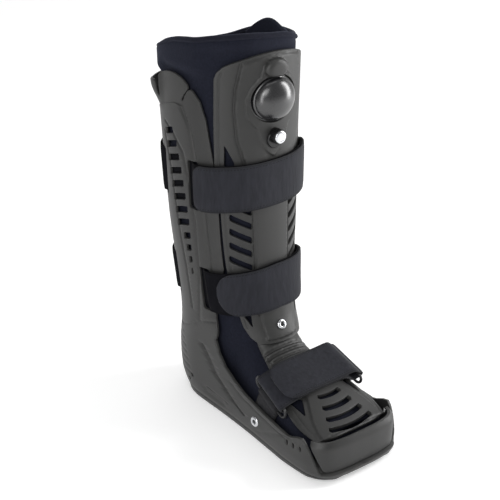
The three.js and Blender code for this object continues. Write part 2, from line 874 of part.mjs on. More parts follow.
function rimHeight(angle) {
  const turn = THREE.MathUtils.euclideanModulo(angle, 2 * Math.PI);
  const right = turn < Math.PI;
  const degrees = THREE.MathUtils.radToDeg(right ? turn : 2 * Math.PI - turn);
  return linerTop * smooth(rimRows, degrees, right ? 2 : 1);
}

function sleeve(inset, overshoot, floor) {
  const rings = [];
  const ring = (z, top) => {
    const front = lerp(neckRoom, shellWall + 1, blendStep(0.37, 0.47, z / shellTop)) + inset;
    return legRing(z, linerSide + inset, front, shellWall + 1 + inset, top);
  };
  rings.push(ring(floor));
  sleeveHeights.filter((share) => share * shellTop > floor + bootieThick)
    .forEach((share) => rings.push(ring(share * shellTop)));
  rings.push(ring(shellTop, (angle) => rimHeight(angle) + overshoot));
  return loft(rings);
}

const bootieSteps = 14;
const bootieSide = 2.8;
const bootieSole = 5;
function bootie(inset, overshoot) {
  const rings = bootieRows.map(([reach, top, share], index) => {
    const last = index === bootieRows.length - 1;
    const y = -reach * toeReach - (last ? overshoot : 0);
    const wide = Math.abs(wallPoint(Math.max(y, -0.9 * toeReach), 0.6 * quarterTop, linerSide, 1)[0]);
    const half = share * wide - inset;
    const [low, high] = [linerFloor + inset, top * shellTop - inset];
    const ring = [];
    for (let i = 0; i < bootieSteps; i += 1) {
      const angle = (2 * Math.PI * i) / bootieSteps;
      const [sine, cosine] = [Math.sin(angle), Math.cos(angle)];
      const x = Math.sign(cosine) * half * Math.abs(cosine) ** (2 / bootieSide);
      const rise = Math.sign(sine) * Math.abs(sine) ** (sine > 0 ? 1 : 2 / bootieSole);
      ring.push([x, y, (low + high) / 2 + (rise * (high - low)) / 2]);
    }
    return ring;
  });
  return loft(rings);
}

function liner() {
  const outer = sleeve(0, 0, linerFloor).add(bootie(0, 0));
  const leg = sleeve(linerThick, cutPast, linerFloor + bootieThick);
  const inner = leg.add(bootie(bootieThick, cutPast));
  const over = instepGrid(-relief - 2 * fit, false, shellWall);
  const under = instepGrid(shellWall + 3 * fit, false, shellWall);
  return outer.subtract(inner).subtract(patch(over, under));
}

// The liner's inner flap, tucked inside the sleeve at the right of the front.
const flapAngles = [12, 24, 36, 48, 60, 72, 84, 96, 108];
const flapRows = [0.8, 0.87, 0.93, 1];
const flapThick = 5;
const flapRise = 2;

function linerFlap() {
  const grid = (inset) => flapRows.map((share) => flapAngles.map((degrees) => {
    const angle = radians(degrees);
    const dip = 3 * blendStep(90, 110, degrees) + 5 * blendStep(-24, -12, -degrees);
    const top = rimHeight(angle) + flapRise * (1 - dip);
    const z = lerp(flapRows[0] * linerTop, top, (share - flapRows[0]) / (1 - flapRows[0]));
    const room = linerThick + 2 * fit + inset;
    const flat = Math.min(z, shellTop);
    const [x, y] = legPoint(angle, flat, linerSide + room, shellWall + 1 + room);
    return [x, y, z];
  }));
  return patch(grid(fit), grid(fit + flapThick));
}

// Straps round the leg: a closed loop that dives through the slots, and the free end on top.
const overPanel = relief + 0.6;
const overShell = 0.7;
const insideShell = shellWall + 0.6;

const slotEase = 2.4;
const strapStep = 12;
const freeEnd = { low: 0.7, high: 1.9, round: 0.16, narrow: 0.5 };
function strapAngles(stops) {
  const angles = [...stops];
  for (let degrees = strapStep - 180; degrees <= 180; degrees += strapStep) {
    const angle = radians(degrees);
    if (stops.every((stop) => Math.abs(stop - angle) > radians(0.45 * strapStep))) {
      angles.push(angle);
    }
  }
  return angles.sort((a, b) => a - b);
}

function legStrap({ height, width, slots, skew, tip, fold, bands }) {
  const stops = [
    angleAtReach(height, -slots.front[1] * shinFront + slotEase),
    angleAtReach(height, -slots.front[0] * shinFront - slotEase, insideShell),
    angleAtReach(height, slots.back[0] * calfBack + slotEase, insideShell),
    angleAtReach(height, slots.back[1] * calfBack - slotEase),
  ];
  const sink = [
    [0, overPanel],
    [stops[0] - radians(20), overPanel],
    [stops[0], overShell],
    [stops[1], -insideShell - strapThick],
    [stops[2], -insideShell - strapThick],
    [stops[3], overShell],
    [Math.PI, overShell],
  ];
  const lift = (angle) => {
    const rows = angle < 0 ? skew.left : skew.right;
    return width * linear(rows, Math.abs(angle) / stops[0], 1);
  };
  const section = (angle, low, high, halfTall) => {
    const [from, to] = [low, high].map((extra) => -linear(sink, Math.abs(angle), 1) - extra);
    const middle = height + lift(angle);
    const levels = bands.map((band) => middle + band * halfTall);
    const at = (z, inset) => {
      const [x, y] = legPoint(angle, z - lift(angle), inset);
      return [x, y, z];
    };
    return [...levels.map((z) => at(z, from)), ...levels.toReversed().map((z) => at(z, to))];
  };
  const [end, start, round] = [-tip, fold, freeEnd.round * tip].map(radians);
  const tipMarks = [0.02, 0.15, 0.45, 1].map((share) => end + share * round);
  const slotMarks = stops.flatMap((stop) => [-stop, stop]);
  const angles = strapAngles([...slotMarks, ...tipMarks, start]);
  const loop = loft(angles.map((angle) => section(angle, 0, strapThick, width / 2)), true);
  const free = angles.filter((angle) => angle >= tipMarks[0] && angle <= start).map((angle) => {
    const into = THREE.MathUtils.clamp((angle - end) / round, 0, 1);
    const tall = (width / 2 - fit) * lerp(freeEnd.narrow, 1, Math.sqrt(1 - (1 - into) ** 2));
    return section(angle, freeEnd.low * strapThick, freeEnd.high * strapThick, tall);
  });
  return loop.add(loft(free));
}

// The foot's strap goes over the instep between two rings, folds round the right one and
// ends at the left. Its path is drawn across the foot in [across, up] steps.
const strapSlope = new THREE.Vector3(0, -0.93, -0.365).normalize();
const strapUp = new THREE.Vector3(0, strapSlope.z, -strapSlope.y);
const strapSeat = new THREE.Vector3(0, -0.6 * toeReach, 0.1925 * shellTop);
const strapLean = 0.08;
const footHalf = 0.73 * calfHalf;
const barRoom = ringBar * Math.SQRT1_2 + 2 * fit;
const barWrap = barRoom + strapThick / 2;
const ringCentre = { left: [-footHalf, -15.5], right: [footHalf + 1, -11] };

// The strap's two runs over the instep. Columns: place across, as a share of footHalf,
// and how far it rises above the strap's seat.
const lowerRun = [
  [-0.75, -3.6],
  [-0.5, -1],
  [-0.2, 0],
  [0.2, 0],
  [0.55, -0.4],
];
const upperRun = [
  [0.82, 1],
  [0.5, 0.6],
  [0.2, 0],
  [-0.2, 0],
  [-0.52, -0.8],
  [-0.78, -2.8],
  [-0.86, -3.6],
  [-0.93, -4.5],
];
const runGap = 0.2;

function footStrapPath() {
  const [leftX, leftUp] = ringCentre.left;
  const topLeft = leftUp + ringWidth / 2 - ringBar / 2;
  const [rightX, rightUp] = ringCentre.right;
  const topRight = rightUp + ringWidth / 2 - ringBar / 2;
  const under = strapThick / 2 + overShell;
  const over = under + strapThick + runGap;
  const wrap = (x, up, from, to) => {
    const steps = [];
    for (let i = 0; i <= 6; i += 1) {
      const turn = radians(lerp(from, to, i / 6));
      steps.push([x + barWrap * Math.cos(turn), up + barWrap * Math.sin(turn)]);
    }
    return steps;
  };
  return [
    ...wrap(leftX, topLeft, 330, 120),
    ...lowerRun.map(([share, rise]) => [share * footHalf, under + rise]),
    [0.85 * footHalf, topRight - barWrap + 2 * runGap],
    ...wrap(rightX, topRight, -80, 95),
    ...upperRun.map(([share, rise]) => [share * footHalf, over + rise]),
  ];
}

function leaned(across) {
  return new THREE.Vector3((across / footHalf) * strapLean, 0, 0).add(strapSlope).normalize();
}

function strip(path, thick, widths) {
  const rings = path.map(([x, up], i) => {
    const before = path[Math.max(i - 1, 0)];
    const after = path[Math.min(i + 1, path.length - 1)];
    const run = new THREE.Vector2(after[0] - before[0], after[1] - before[1]).normalize();
    const along = leaned(x);
    const corners = [[-1, -1], [1, -1], [1, 1], [-1, 1]];
    return corners.map(([side, face]) => {
      const px = x - (run.y * face * thick) / 2;
      const pu = up + (run.x * face * thick) / 2;
      const point = strapSeat.clone().addScaledVector(strapUp, pu);
      point.x += px;
      point.addScaledVector(along, (side * widths(i, path.length)) / 2);
      return point.toArray();
    });
  });
  return loft(rings);
}

function footStrap() {
  const tipWidths = [0.98, 0.9, 0.55];
  const widths = (index, count) => {
    const fromEnd = count - 1 - index;
    return footStrapWidth * (fromEnd < tipWidths.length ? tipWidths[tipWidths.length - 1 - fromEnd] : 1);
  };
  return strip(footStrapPath(), strapThick, widths);
}

// A flat ring with round ends, long along the foot.
function footRing(side) {
  const [across, up] = side < 0 ? ringCentre.left : ringCentre.right;
  const ring = new THREE.Shape();
  const outline = (path, grow) => {
    const half = ringLength / 2 - ringWidth / 2;
    const round = ringWidth / 2 - grow;
    path.absarc(half, 0, round, -Math.PI / 2, Math.PI / 2, false);
    path.absarc(-half, 0, round, Math.PI / 2, (3 * Math.PI) / 2, false);
  };
  outline(ring, 0);
  const hole = new THREE.Path();
  outline(hole, ringBar);
  ring.holes.push(hole);
  const geometry = new THREE.ExtrudeGeometry(ring, { depth: ringBar, bevelEnabled: false, curveSegments: 5 });
  geometry.translate(0, 0, -ringBar / 2);
  const along = leaned(across);
  const outward = new THREE.Vector3().crossVectors(along, strapUp).normalize();
  const upward = new THREE.Vector3().crossVectors(outward, along);
  const matrix = new THREE.Matrix4().makeBasis(along, upward, outward);
  const centre = strapSeat.clone().addScaledVector(strapUp, up);
  matrix.setPosition(centre.x + across, centre.y, centre.z);
  return solid(geometry, matrix);
}

// Webbing that holds each ring, up the inside of the sole's side wall from the rivet.
const anchorWidth = 34;
const anchorThick = 1.6;
const anchorLength = 30;
const anchorBend = 8;

function footAnchor(side) {
  const [across, up] = side < 0 ? ringCentre.left : ringCentre.right;
  const low = up - ringWidth / 2 + ringBar / 2;
  const turn = barRoom + anchorThick / 2;
  const foot = strapSeat.clone().addScaledVector(strapUp, low - anchorLength - anchorBend);
  const inside = wallPoint(foot.y, foot.z, shellWall, 1)[0] - 2 * fit - anchorThick / 2;
  const path = [[side * inside, low - anchorLength], [side * inside, low - anchorBend]];
  for (let i = 0; i <= 5; i += 1) {
    const angle = radians(lerp(200, -20, i / 5));
    path.push([across + side * turn * Math.cos(angle), low + turn * Math.sin(angle)]);
  }
  return strip(path, anchorThick, () => anchorWidth);
}

// Pump bulb, valve and rivets.
function pumpBulb() {
  const skirt = 1.5;
  const bore = bulbRadius - bulbWall;
  const dome = (radius, height) => [0, 1, 2, 3, 4].map((i) => {
    const turn = (Math.PI / 2) * (i / 4);
    return [i === 4 ? 0 : radius * Math.cos(turn), skirt + height * Math.sin(turn)];
  });
  const outside = dome(bulbRadius, bulbHeight);
  const inside = dome(bore, bulbHeight - bulbWall).toReversed();
  const base = new THREE.Vector3(0, -bossFront - fit, pumpHeight);
  return turned([[bore, 0], [bulbRadius, 0], ...outside, ...inside, [bore, 0]], base, forward, 16);
}

const boreDepth = 5.5;
const buttonProud = 2.6;
const chamfer = 0.7;

function valveKnob() {
  const bore = buttonRadius + fit;
  return turned(
    [
      [0, 0],
      [knobRadius, 0],
      [knobRadius, knobLength - chamfer],
      [knobRadius - chamfer, knobLength],
      [bore, knobLength],
      [bore, knobLength - boreDepth],
      [0, knobLength - boreDepth],
    ],
    new THREE.Vector3(0, -seatFront - fit, valveHeight),
    forward,
    16,
  );
}

function valveButton() {
  const start = knobLength - boreDepth + buttonTravel + fit;
  const length = boreDepth + buttonProud - buttonTravel;
  const edge = [[buttonRadius, length - chamfer], [buttonRadius - chamfer, length]];
  return turned(
    [[0, 0], [buttonRadius, 0], ...edge, [0, length]],
    new THREE.Vector3(0, -seatFront - fit - start, valveHeight),
    forward,
    16,
  );
}

function rivet(base, out, grip) {
  const seat = 2 * fit;
  const crown = seat + 1.9;
  return turned(
    [
      [0, -grip],
      [shankRadius, -grip],
      [shankRadius, seat],
      [rivetRadius, seat],
      [rivetRadius, seat + 0.6],
      [0.7 * rivetRadius, crown],
      [0, crown],
    ],
    base,
    out,
    10,
  );
}

// Colours and finish.
function finish(color, roughness, metalness = 0) {
  return new THREE.MeshStandardMaterial({ color, roughness, metalness });
}
const mouldedPlastic = finish(0x454543, 0.55);
const soleRubber = finish(0x191919, 0.85);
const linerKnit = finish(0x1c1e2a, 0.95);
const loopFabric = finish(0x3b3c44, 0.9);
const blackGloss = finish(0x111113, 0.2);
const blackPlastic = finish(0x1b1b1c, 0.5);
const silver = finish(0xcfd0d2, 0.25, 0.9);

const boot = new THREE.Group();

function add(name, body, material) {
  const { vertProperties, triVerts } = body.getMesh();
  const geometry = new THREE.BufferGeometry();
  geometry.setAttribute('position', new THREE.BufferAttribute(new Float32Array(vertProperties), 3));
  geometry.setIndex(new THREE.BufferAttribute(new Uint32Array(triVerts), 1));
  geometry.computeVertexNormals();
  const mesh = new THREE.Mesh(geometry, material);
  mesh.name = name;
  boot.add(mesh);
}

const calfStrap = {
  height: calfStrapHeight,
  width: calfStrapWidth,
  slots: calfSlots,
  skew: { left: [[0, 0], [1, 0]], right: [[0, 0], [1, 0]] },
  tip: 75,
  fold: 70,
  bands: [-1, 1],
};
const ankleStrap = {
  height: ankleStrapHeight,
  width: ankleStrapWidth,
  slots: ankleSlots,
  skew: { left: [[0, 0.2], [0.9, 0], [1, 0]], right: [[0, 0.2], [0.55, 0.17], [1, 0]] },
  tip: 69,
  fold: 66,
  bands: [-1, 0, 1],
};

add('rear_shell', rearShell(), mouldedPlastic);
add('toe_cap', toeCap(), mouldedPlastic);
add('outsole', outsole(), soleRubber);
add('shin_shell', shinShell(), mouldedPlastic);
add('instep_shell', instepShell(), mouldedPlastic);
add('liner', liner(), linerKnit);
add('liner_flap', linerFlap(), linerKnit);
add('calf_strap', legStrap(calfStrap), loopFabric);
add('ankle_strap', legStrap(ankleStrap), loopFabric);
add('foot_strap', footStrap(), loopFabric);
[['left', -1], ['right', 1]].forEach(([word, side]) => {
  const { base, out } = footRivetAxis(side);
  add(`foot_ring_${word}`, footRing(side), blackPlastic);
  add(`foot_anchor_${word}`, footAnchor(side), loopFabric);
  add(`foot_rivet_${word}`, rivet(base, out, shellWall), silver);
});
add('pump_bulb', pumpBulb(), blackGloss);
add('valve_knob', valveKnob(), blackPlastic);
add('valve_button', valveButton(), silver);
const ankleAxis = ankleRivetAxis();
add('ankle_rivet', rivet(ankleAxis.base, ankleAxis.out, 2 * shellWall + relief), silver);

// The origin is the middle of the footprint, on the floor.
const box = new THREE.Box3().setFromObject(boot);
const middle = box.getCenter(new THREE.Vector3());
boot.position.set(-middle.x, -middle.y, -box.min.z);

export default boot;
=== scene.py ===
import math

import bmesh
import bpy
import numpy as np
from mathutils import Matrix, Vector, geometry


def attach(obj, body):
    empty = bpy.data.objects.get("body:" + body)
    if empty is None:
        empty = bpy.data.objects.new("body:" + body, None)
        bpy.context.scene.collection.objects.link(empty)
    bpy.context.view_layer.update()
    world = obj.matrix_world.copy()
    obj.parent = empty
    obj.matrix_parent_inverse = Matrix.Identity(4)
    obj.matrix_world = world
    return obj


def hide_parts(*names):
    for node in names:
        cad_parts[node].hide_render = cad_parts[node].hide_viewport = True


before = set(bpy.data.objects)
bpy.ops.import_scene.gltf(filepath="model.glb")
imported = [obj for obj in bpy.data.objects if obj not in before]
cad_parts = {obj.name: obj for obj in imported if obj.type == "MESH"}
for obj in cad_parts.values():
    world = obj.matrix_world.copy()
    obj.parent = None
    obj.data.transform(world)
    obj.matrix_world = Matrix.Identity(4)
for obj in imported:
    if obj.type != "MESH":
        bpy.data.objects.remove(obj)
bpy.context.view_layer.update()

# Camera. It looks down on the boot from the front left, from about 1.3 m away, with a
# short telephoto lens.
sight = Vector((0.56828, 0.71162, -0.41310))
camera_data = bpy.data.cameras.new("camera")
camera_data.lens = 87.58
camera_data.sensor_width = 36
camera_data.shift_x = -0.0089
camera = bpy.data.objects.new("camera", camera_data)
camera.location = (-0.7427, -0.9042, 0.7287)
camera.rotation_euler = sight.to_track_quat("-Z", "Y").to_euler()
bpy.context.scene.collection.objects.link(camera)
bpy.context.scene.camera = camera

# Rear shell and sole. One charcoal nylon moulding: a wall round the back of the leg with a
# flared tab, side walls along the foot and a solid rocker deck. A ladder of vents and the
# strap slots go through the wall.

# The boot is drawn in millimetres round the leg's axis, with the toes towards -Y.
leg_axis = Vector((0.386, 64.138, 0.0))
shell_top = 420
calf_half = 68
calf_back = 84
shin_front = 70
toe_reach = 222
wall = 3
outline_power = 2.3
foot_ends = 0.138
leg_begins = 0.31
flat_scale = 100

# Height, half width, reach back and reach front, as shares of the sizes above.
body_rows = [
    (0.012, 0.7, 0.714, 1.36),
    (0.071, 0.725, 0.821, 1.36),
    (0.143, 0.745, 0.821, 1.36),
    (0.226, 0.765, 0.738, 1.34),
    (0.298, 0.801, 0.714, 1.136),
    (0.429, 0.89, 0.762, 1.0),
    (0.536, 0.941, 0.833, 0.971),
    (0.774, 0.978, 0.964, 0.957),
    (0.881, 0.993, 1.0, 0.971),
    (1.03, 1.0, 1.0, 1.0),
]

# Sole outline from the leg's axis to the toe: step, reach and half width.
foot_plan = [
    (0.0, 0.0, 1.0),
    (0.1, 0.19, 1.02),
    (0.2, 0.38, 1.07),
    (0.3, 0.57, 1.15),
    (0.4, 0.71, 1.21),
    (0.5, 0.83, 1.225),
    (0.6, 0.9, 1.185),
    (0.7, 0.953, 1.07),
    (0.8, 0.984, 0.86),
    (0.9, 0.998, 0.46),
    (1.0, 1.0, 0.0),
]


def mix(a, b, share):
    return a + (b - a) * share


def ease(low, high, value):
    share = min(max((value - low) / (high - low), 0.0), 1.0)
    return share * share * (3 - 2 * share)


def smooth(rows, at, column):
    index = 0
    while index < len(rows) - 2 and rows[index + 1][0] < at:
        index += 1

    def slope(row):
        before, after = rows[max(row - 1, 0)], rows[min(row + 1, len(rows) - 1)]
        return (after[column] - before[column]) / (after[0] - before[0])

    low, high = rows[index], rows[index + 1]
    span = high[0] - low[0]
    t = min(max((at - low[0]) / span, 0.0), 1.0)
    bend = t * (1 - t) * span
    level = mix(low[column], high[column], t * t * (3 - 2 * t))
    return level + bend * ((1 - t) * slope(index) - t * slope(index + 1))


def linear(rows, at, column=1):
    return float(np.interp(at, [row[0] for row in rows], [row[column] for row in rows]))


def power(value, exponent):
    return math.copysign(abs(value) ** exponent, value)


def leg_spot(turn, z, side, front=None, back=None):
    """A point on the leg: turn is 0 at the front, 1 at the right, 2 at the back."""
    front = side if front is None else front
    back = side if back is None else back
    angle = turn * math.pi / 2
    share = z / shell_top
    x = (calf_half * smooth(body_rows, share, 1) - side) * power(math.sin(angle), 2 / outline_power)
    along = power(math.cos(angle), 2 / outline_power)
    if along > 0:
        return x, -(shin_front * smooth(body_rows, share, 3) - front) * along
    return x, -(calf_back * smooth(body_rows, share, 2) - back) * along


def boot_spot(turn, z, inset, reach=toe_reach):
    """A point on the boot's outside, where the foot's outline turns into the leg's."""
    x, y = leg_spot(turn, z, inset)
    if abs(turn) < 1:
        leg = ease(foot_ends * shell_top, leg_begins * shell_top, z)
        step = 1 - abs(turn)
        half = calf_half * smooth(body_rows, z / shell_top, 1) - inset
        across = power(math.sin(turn * math.pi / 2), 2 / outline_power)
        foot_x = half * math.copysign(1, across) * smooth(foot_plan, step, 2)
        if step > 0.999:
            foot_x = 0
        foot_y = -(reach - inset) * smooth(foot_plan, step, 1)
        x, y = mix(foot_x, x, leg), mix(foot_y, y, leg)
    return x, y


def to_frame(point):
    return (Vector(point) + leg_axis) / 1000


search_steps = 26


def turn_at(y, z, spot=boot_spot, inset=0.0):
    """How far round the boot a given reach lies, on the right side."""
    low, high = 0.0, 2.0
    for _ in range(search_steps):
        middle = (low + high) / 2
        if spot(middle, z, inset)[1] < y:
            low = middle
        else:
            high = middle
    return (low + high) / 2


# Points closer than this many metres are one, and edges past this many degrees are sharp.
weld = 2e-6
sharp_from = 42


def new_object(name, points, faces, uvs=None):
    mesh = bpy.data.meshes.new(name)
    mesh.from_pydata([to_frame(point) for point in points], [], faces)
    if uvs:
        layer = mesh.uv_layers.new(name="flat")
        for loop in mesh.loops:
            layer.data[loop.index].uv = uvs[loop.vertex_index]
    mesh.update()
    form = bmesh.new()
    form.from_mesh(mesh)
    bmesh.ops.remove_doubles(form, verts=form.verts, dist=weld)
    bmesh.ops.recalc_face_normals(form, faces=form.faces)
    form.to_mesh(mesh)
    form.free()
    mesh.shade_smooth()
    mesh.set_sharp_from_angle(angle=math.radians(sharp_from))
    made = bpy.data.objects.new(name, mesh)
    bpy.context.scene.collection.objects.link(made)
    return made


def dense(loop, step, closed=True):
    """The same line with points no further apart than the step."""
    points = []
    count = len(loop) if closed else len(loop) - 1
    for i in range(count):
        a, b = np.array(loop[i], float), np.array(loop[(i + 1) % len(loop)], float)
        pieces = max(1, math.ceil(np.linalg.norm(b - a) / step))
        points += [tuple(a + (b - a) * k / pieces) for k in range(pieces)]
    if not closed:
        points.append(tuple(float(v) for v in loop[-1]))
    return points


def offset(line, distance, closed=True):
    """A line moved sideways, to its left for a positive distance."""
    points = np.array(line, float)
    if closed:
        run = np.roll(points, -1, axis=0) - np.roll(points, 1, axis=0)
    else:
        run = np.gradient(points, axis=0)
    run /= np.maximum(np.linalg.norm(run, axis=1, keepdims=True), 1e-9)
    return points + distance * np.stack([-run[:, 1], run[:, 0]], axis=1)


def gap_to(points, line, closed=True):
    """Distance of each point from a line."""
    line = np.array(line, float)
    ends = np.roll(line, -1, axis=0) if closed else line[1:]
    starts = line if closed else line[:-1]
    best = np.full(len(points), 1e9)
    for a, b in zip(starts, ends):
        run = b - a
        share = np.clip(((points - a) @ run) / max(run @ run, 1e-12), 0, 1)
        best = np.minimum(best, np.linalg.norm(points - a - share[:, None] * run, axis=1))
    return best


def inside(points, loop):
    loop = np.array(loop, float)
    hit = np.zeros(len(points), bool)
    x, y = points[:, 0], points[:, 1]
    for (ax, ay), (bx, by) in zip(loop, np.roll(loop, -1, axis=0)):
        crosses = (ay > y) != (by > y)
        height = by - ay if abs(by - ay) > 1e-12 else 1e-12
        hit ^= crosses & (x < (bx - ax) * (y - ay) / height + ax)
    return hit


def left_about(loop):
    """The loop run anticlockwise."""
    area = sum(a[0] * b[1] - b[0] * a[1] for a, b in zip(loop, loop[1:] + loop[:1]))
    return loop if area > 0 else loop[::-1]


edge_round = 0.7
edge_steps = (0.35, 1.1)
hole_step, groove_step, pad_step = 1.6, 2.2, 2.0
groove_lines = (-1.25, -0.55, 0, 0.55, 1.25)
groove_end = 1.35
row_pitch = 0.87


def moulding(name, outline, holes, place, thick, grooves=(), pads=(), grid=3.0, seam=None):
    """A moulded plate with rounded edges. Its outline and holes are drawn flat, and place
    takes a flat point and a depth below the outer face to a point on the boot.
    grooves are (line, half width, depth), and pads are (loop, rise, blend, domed)."""
    outline = left_about(dense(outline, 0.8 * grid))
    holes = [left_about(dense(hole, hole_step)) for hole in holes]
    loops = [outline] + [hole[::-1] for hole in holes]
    points, drop, edges, rims = [], [], [], []
    for loop in loops:
        first = len(points)
        count = len(loop)
        points += loop
        drop += [0.0 if seam and seam(p) else edge_round for p in loop]
        rims.append(list(range(first, first + count)))
        edges += [(first + i, first + (i + 1) % count) for i in range(count)]
    rim_count = len(points)
    extra = []
    for loop in loops:
        for step in edge_steps:
            extra += [tuple(p) for p in offset(loop, step)]
    for line, half, depth in grooves:
        fine = dense(line, groove_step, closed=False)
        for share in groove_lines:
            extra += [tuple(p) for p in offset(fine, share * half, closed=False)]
    for loop, rise, blend, domed in pads:
        fine = left_about(dense(loop, pad_step))
        for share in (0, 0.04, 0.14, 0.3, 0.5, 0.75) if domed else (0, 0.5, 1):
            extra += [tuple(p) for p in offset(fine, share * blend)]
    low, high = np.min(outline, axis=0), np.max(outline, axis=0)
    for j, v in enumerate(np.arange(low[1], high[1], grid * row_pitch)):
        for u in np.arange(low[0] + (j % 2) * grid / 2, high[0], grid):
            extra.append((u, v))
    extra = np.array(extra)
    keep = inside(extra, outline)
    gap = gap_to(extra, outline)
    for hole in holes:
        keep &= ~inside(extra, hole)
        gap = np.minimum(gap, gap_to(extra, hole))
    extra = extra[keep & (gap > 0.6 * edge_steps[0])]
    flat = [Vector(p) for p in points] + [Vector(p) for p in extra]
    found = geometry.delaunay_2d_cdt(flat, edges, [], 0, 1e-4)
    spots = np.array([tuple(p) for p in found[0]])
    origin = {}
    for new, olds in enumerate(found[3]):
        for old in olds:
            origin[old] = new
    faces = np.array([tuple(face) for face in found[2]])
    centre = spots[faces].mean(axis=1)
    kept = inside(centre, outline)
    for hole in holes:
        kept &= ~inside(centre, hole)
    faces = faces[kept]
    lift = np.zeros(len(spots))
    for line, half, depth in grooves:
        reach = gap_to(spots, line, closed=False)
        lift -= depth * np.clip(groove_end - reach / half, 0, 1)
    for loop, rise, blend, domed in pads:
        loop = left_about(dense(loop, pad_step))
        share = np.clip(gap_to(spots, loop) / blend, 0, 1)
        swell = np.sqrt(1 - (1 - share) ** 2) if domed else share * share * (3 - 2 * share)
        lift += np.where(inside(spots, loop), rise * swell, 0)
    sink = np.zeros(len(spots))
    for old in range(rim_count):
        sink[origin[old]] = drop[old]
    near = gap_to(spots, outline)
    for hole in holes:
        near = np.minimum(near, gap_to(spots, hole))
    soft = np.where(near < edge_steps[1], 0.12 * edge_round * (1 - near / edge_steps[1]), 0)
    sink = np.maximum(sink, soft)
    top = [place(u, v, s - d) for (u, v), s, d in zip(spots, sink, lift)]
    bottom = [place(u, v, thick(u, v) if callable(thick) else thick) for u, v in spots]
    count = len(spots)
    polygons = [tuple(int(i) for i in face) for face in faces]
    polygons += [tuple(int(i) + count for i in face[::-1]) for face in faces]
    for rim in rims:
        for i, a in enumerate(rim):
            b = rim[(i + 1) % len(rim)]
            if seam and seam(points[a]) and seam(points[b]):
                continue
            a, b = origin[a], origin[b]
            polygons.append((b, a, a + count, b + count))
    return new_object(name, top + bottom, polygons)


def outward(spot, u, z, step=0.6):
    """The way straight out of a surface given by a function of a flat point."""
    a, b = Vector(spot(u - step, z)), Vector(spot(u + step, z))
    c, d = Vector(spot(u, z - step)), Vector(spot(u, z + step))
    return (b - a).cross(d - c).normalized()


def rounded(u_low, u_high, v_low, v_high, radius, lean=0.0, steps=4):
    """A slot with round corners. lean tips its far end up."""
    loop = []
    for cu, cv, start in (
        (u_high - radius, v_high - radius, 0),
        (u_low + radius, v_high - radius, 90),
        (u_low + radius, v_low + radius, 180),
        (u_high - radius, v_low + radius, 270),
    ):
        for i in range(steps + 1):
            angle = math.radians(start + 90 * i / steps)
            u = cu + radius * math.cos(angle)
            v = cv + radius * math.sin(angle)
            share = (u - u_low) / (u_high - u_low)
            loop.append((u, v + lean * (share - 0.5)))
    return loop


tab_starts = (0.38, 0.58)
tab_flare = 9.5
tab_bend = (0.8, 0.87)
sole_tuck = 3.5
sole_tuck_ends, wall_tuck_ends = (3, 13), (10, 24)
near_toe = 199


def rear_spot(u, z):
    """Flat point to boot: u runs from the back, minus to the left, 100 to a quarter turn."""
    turn = math.copysign(2 - abs(u) / flat_scale, u)
    tuck = sole_tuck * (1 - ease(*sole_tuck_ends, z)) + 1.0 - ease(*wall_tuck_ends, z)
    x, y = boot_spot(turn, z, tuck)
    share = y / (calf_back * smooth(body_rows, z / shell_top, 2))
    flare = tab_flare * ease(*tab_bend, z / shell_top) * ease(*tab_starts, share)
    grown = 1 + flare / calf_back
    return x * grown, y * grown, z


def rear_place(u, z, depth):
    base = Vector(rear_spot(u, z))
    normal = outward(rear_spot, u if abs(u) < near_toe else math.copysign(near_toe, u), z)
    if normal.dot(Vector((base.x, base.y + (0 if base.y > -40 else 60), 0))) < 0:
        normal = -normal
    return base - normal * depth


def rear_flat(y, z, side):
    """Where a side view point of the rear shell lies on the flat."""
    return side * flat_scale * (2 - turn_at(y, z)), z


# The underside's profile: reach and height, from the toe to the heel.
underside = [
    (-222, 8.8), (-212, 8.4), (-190.9, 7.2), (-146.5, 6), (30.2, 6), (47.9, 8.7), (60.5, 14.4), (79.8, 26),
]
lip_top = 13.3
deck_top = 20

# Front edge of the wall and top of the shell, as reach and height in side view.
rear_edge = [
    (-68, 59.8), (-51.4, 69), (-40.7, 80.9), (-35.1, 95), (-35.6, 122.4), (-41, 150), (-46.9, 182.2),
    (-44.3, 251.4), (-40.7, 301.3), (-34.7, 345.1), (-28.7, 363.8), (-20.5, 373.0), (-17, 374.2),
    (-13, 372.5), (-8.5, 366.5), (-5.6, 360.8), (-4.2, 360.2), (-3.4, 361.6), (-7.5, 367.5),
    (-12.0, 371.8), (-13.8, 375), (-12.5, 378.4), (-7.5, 382), (-0.5, 384.8), (8, 386.3),
    (18, 386), (28, 384), (36.4, 380.6), (39.2, 376), (39.2, 356), (40.4, 354), (41.8, 356),
    (42.2, 366), (44.2, 370.4), (48.5, 370.6), (60, 366.2),
]
tab_top = 364.5
side_edge = [
    (-193.2, 48), (-190.2, 51), (-182, 49), (-172, 44.5), (-166.9, 43.3), (-147.3, 45.2), (-125.3, 46.7),
    (-104.8, 49.3), (-83.9, 53.2),
]
toe_seam = [(-210.5, lip_top), (-208, 16.6), (-204.5, 26.8), (-199.5, 39.1), (-194.8, 46.5)]


def rear_outline():
    half = []
    for u in np.linspace(0, 200, 70):
        z = 12.0
        for _ in range(6):
            z = mix(z, linear(underside, rear_spot(u, z)[1]), 0.7)
        half.append((u, z))
    half.append((200, lip_top))
    half += [(u, lip_top) for u in np.linspace(196, rear_flat(-211.5, lip_top, 1)[0], 10)]
    half += [rear_flat(y, z, 1) for y, z in toe_seam + side_edge + rear_edge]
    half += [(u, tab_top) for u in (40, 28, 14)]
    mirrored = [(-u, z) for u, z in half if 0 < u]
    return half + [(0, tab_top)] + mirrored[::-1]


vent_count = 12
vent_height = 7.0
vent_lean = 0.32
vent_corner, slot_corner = 1.3, 3

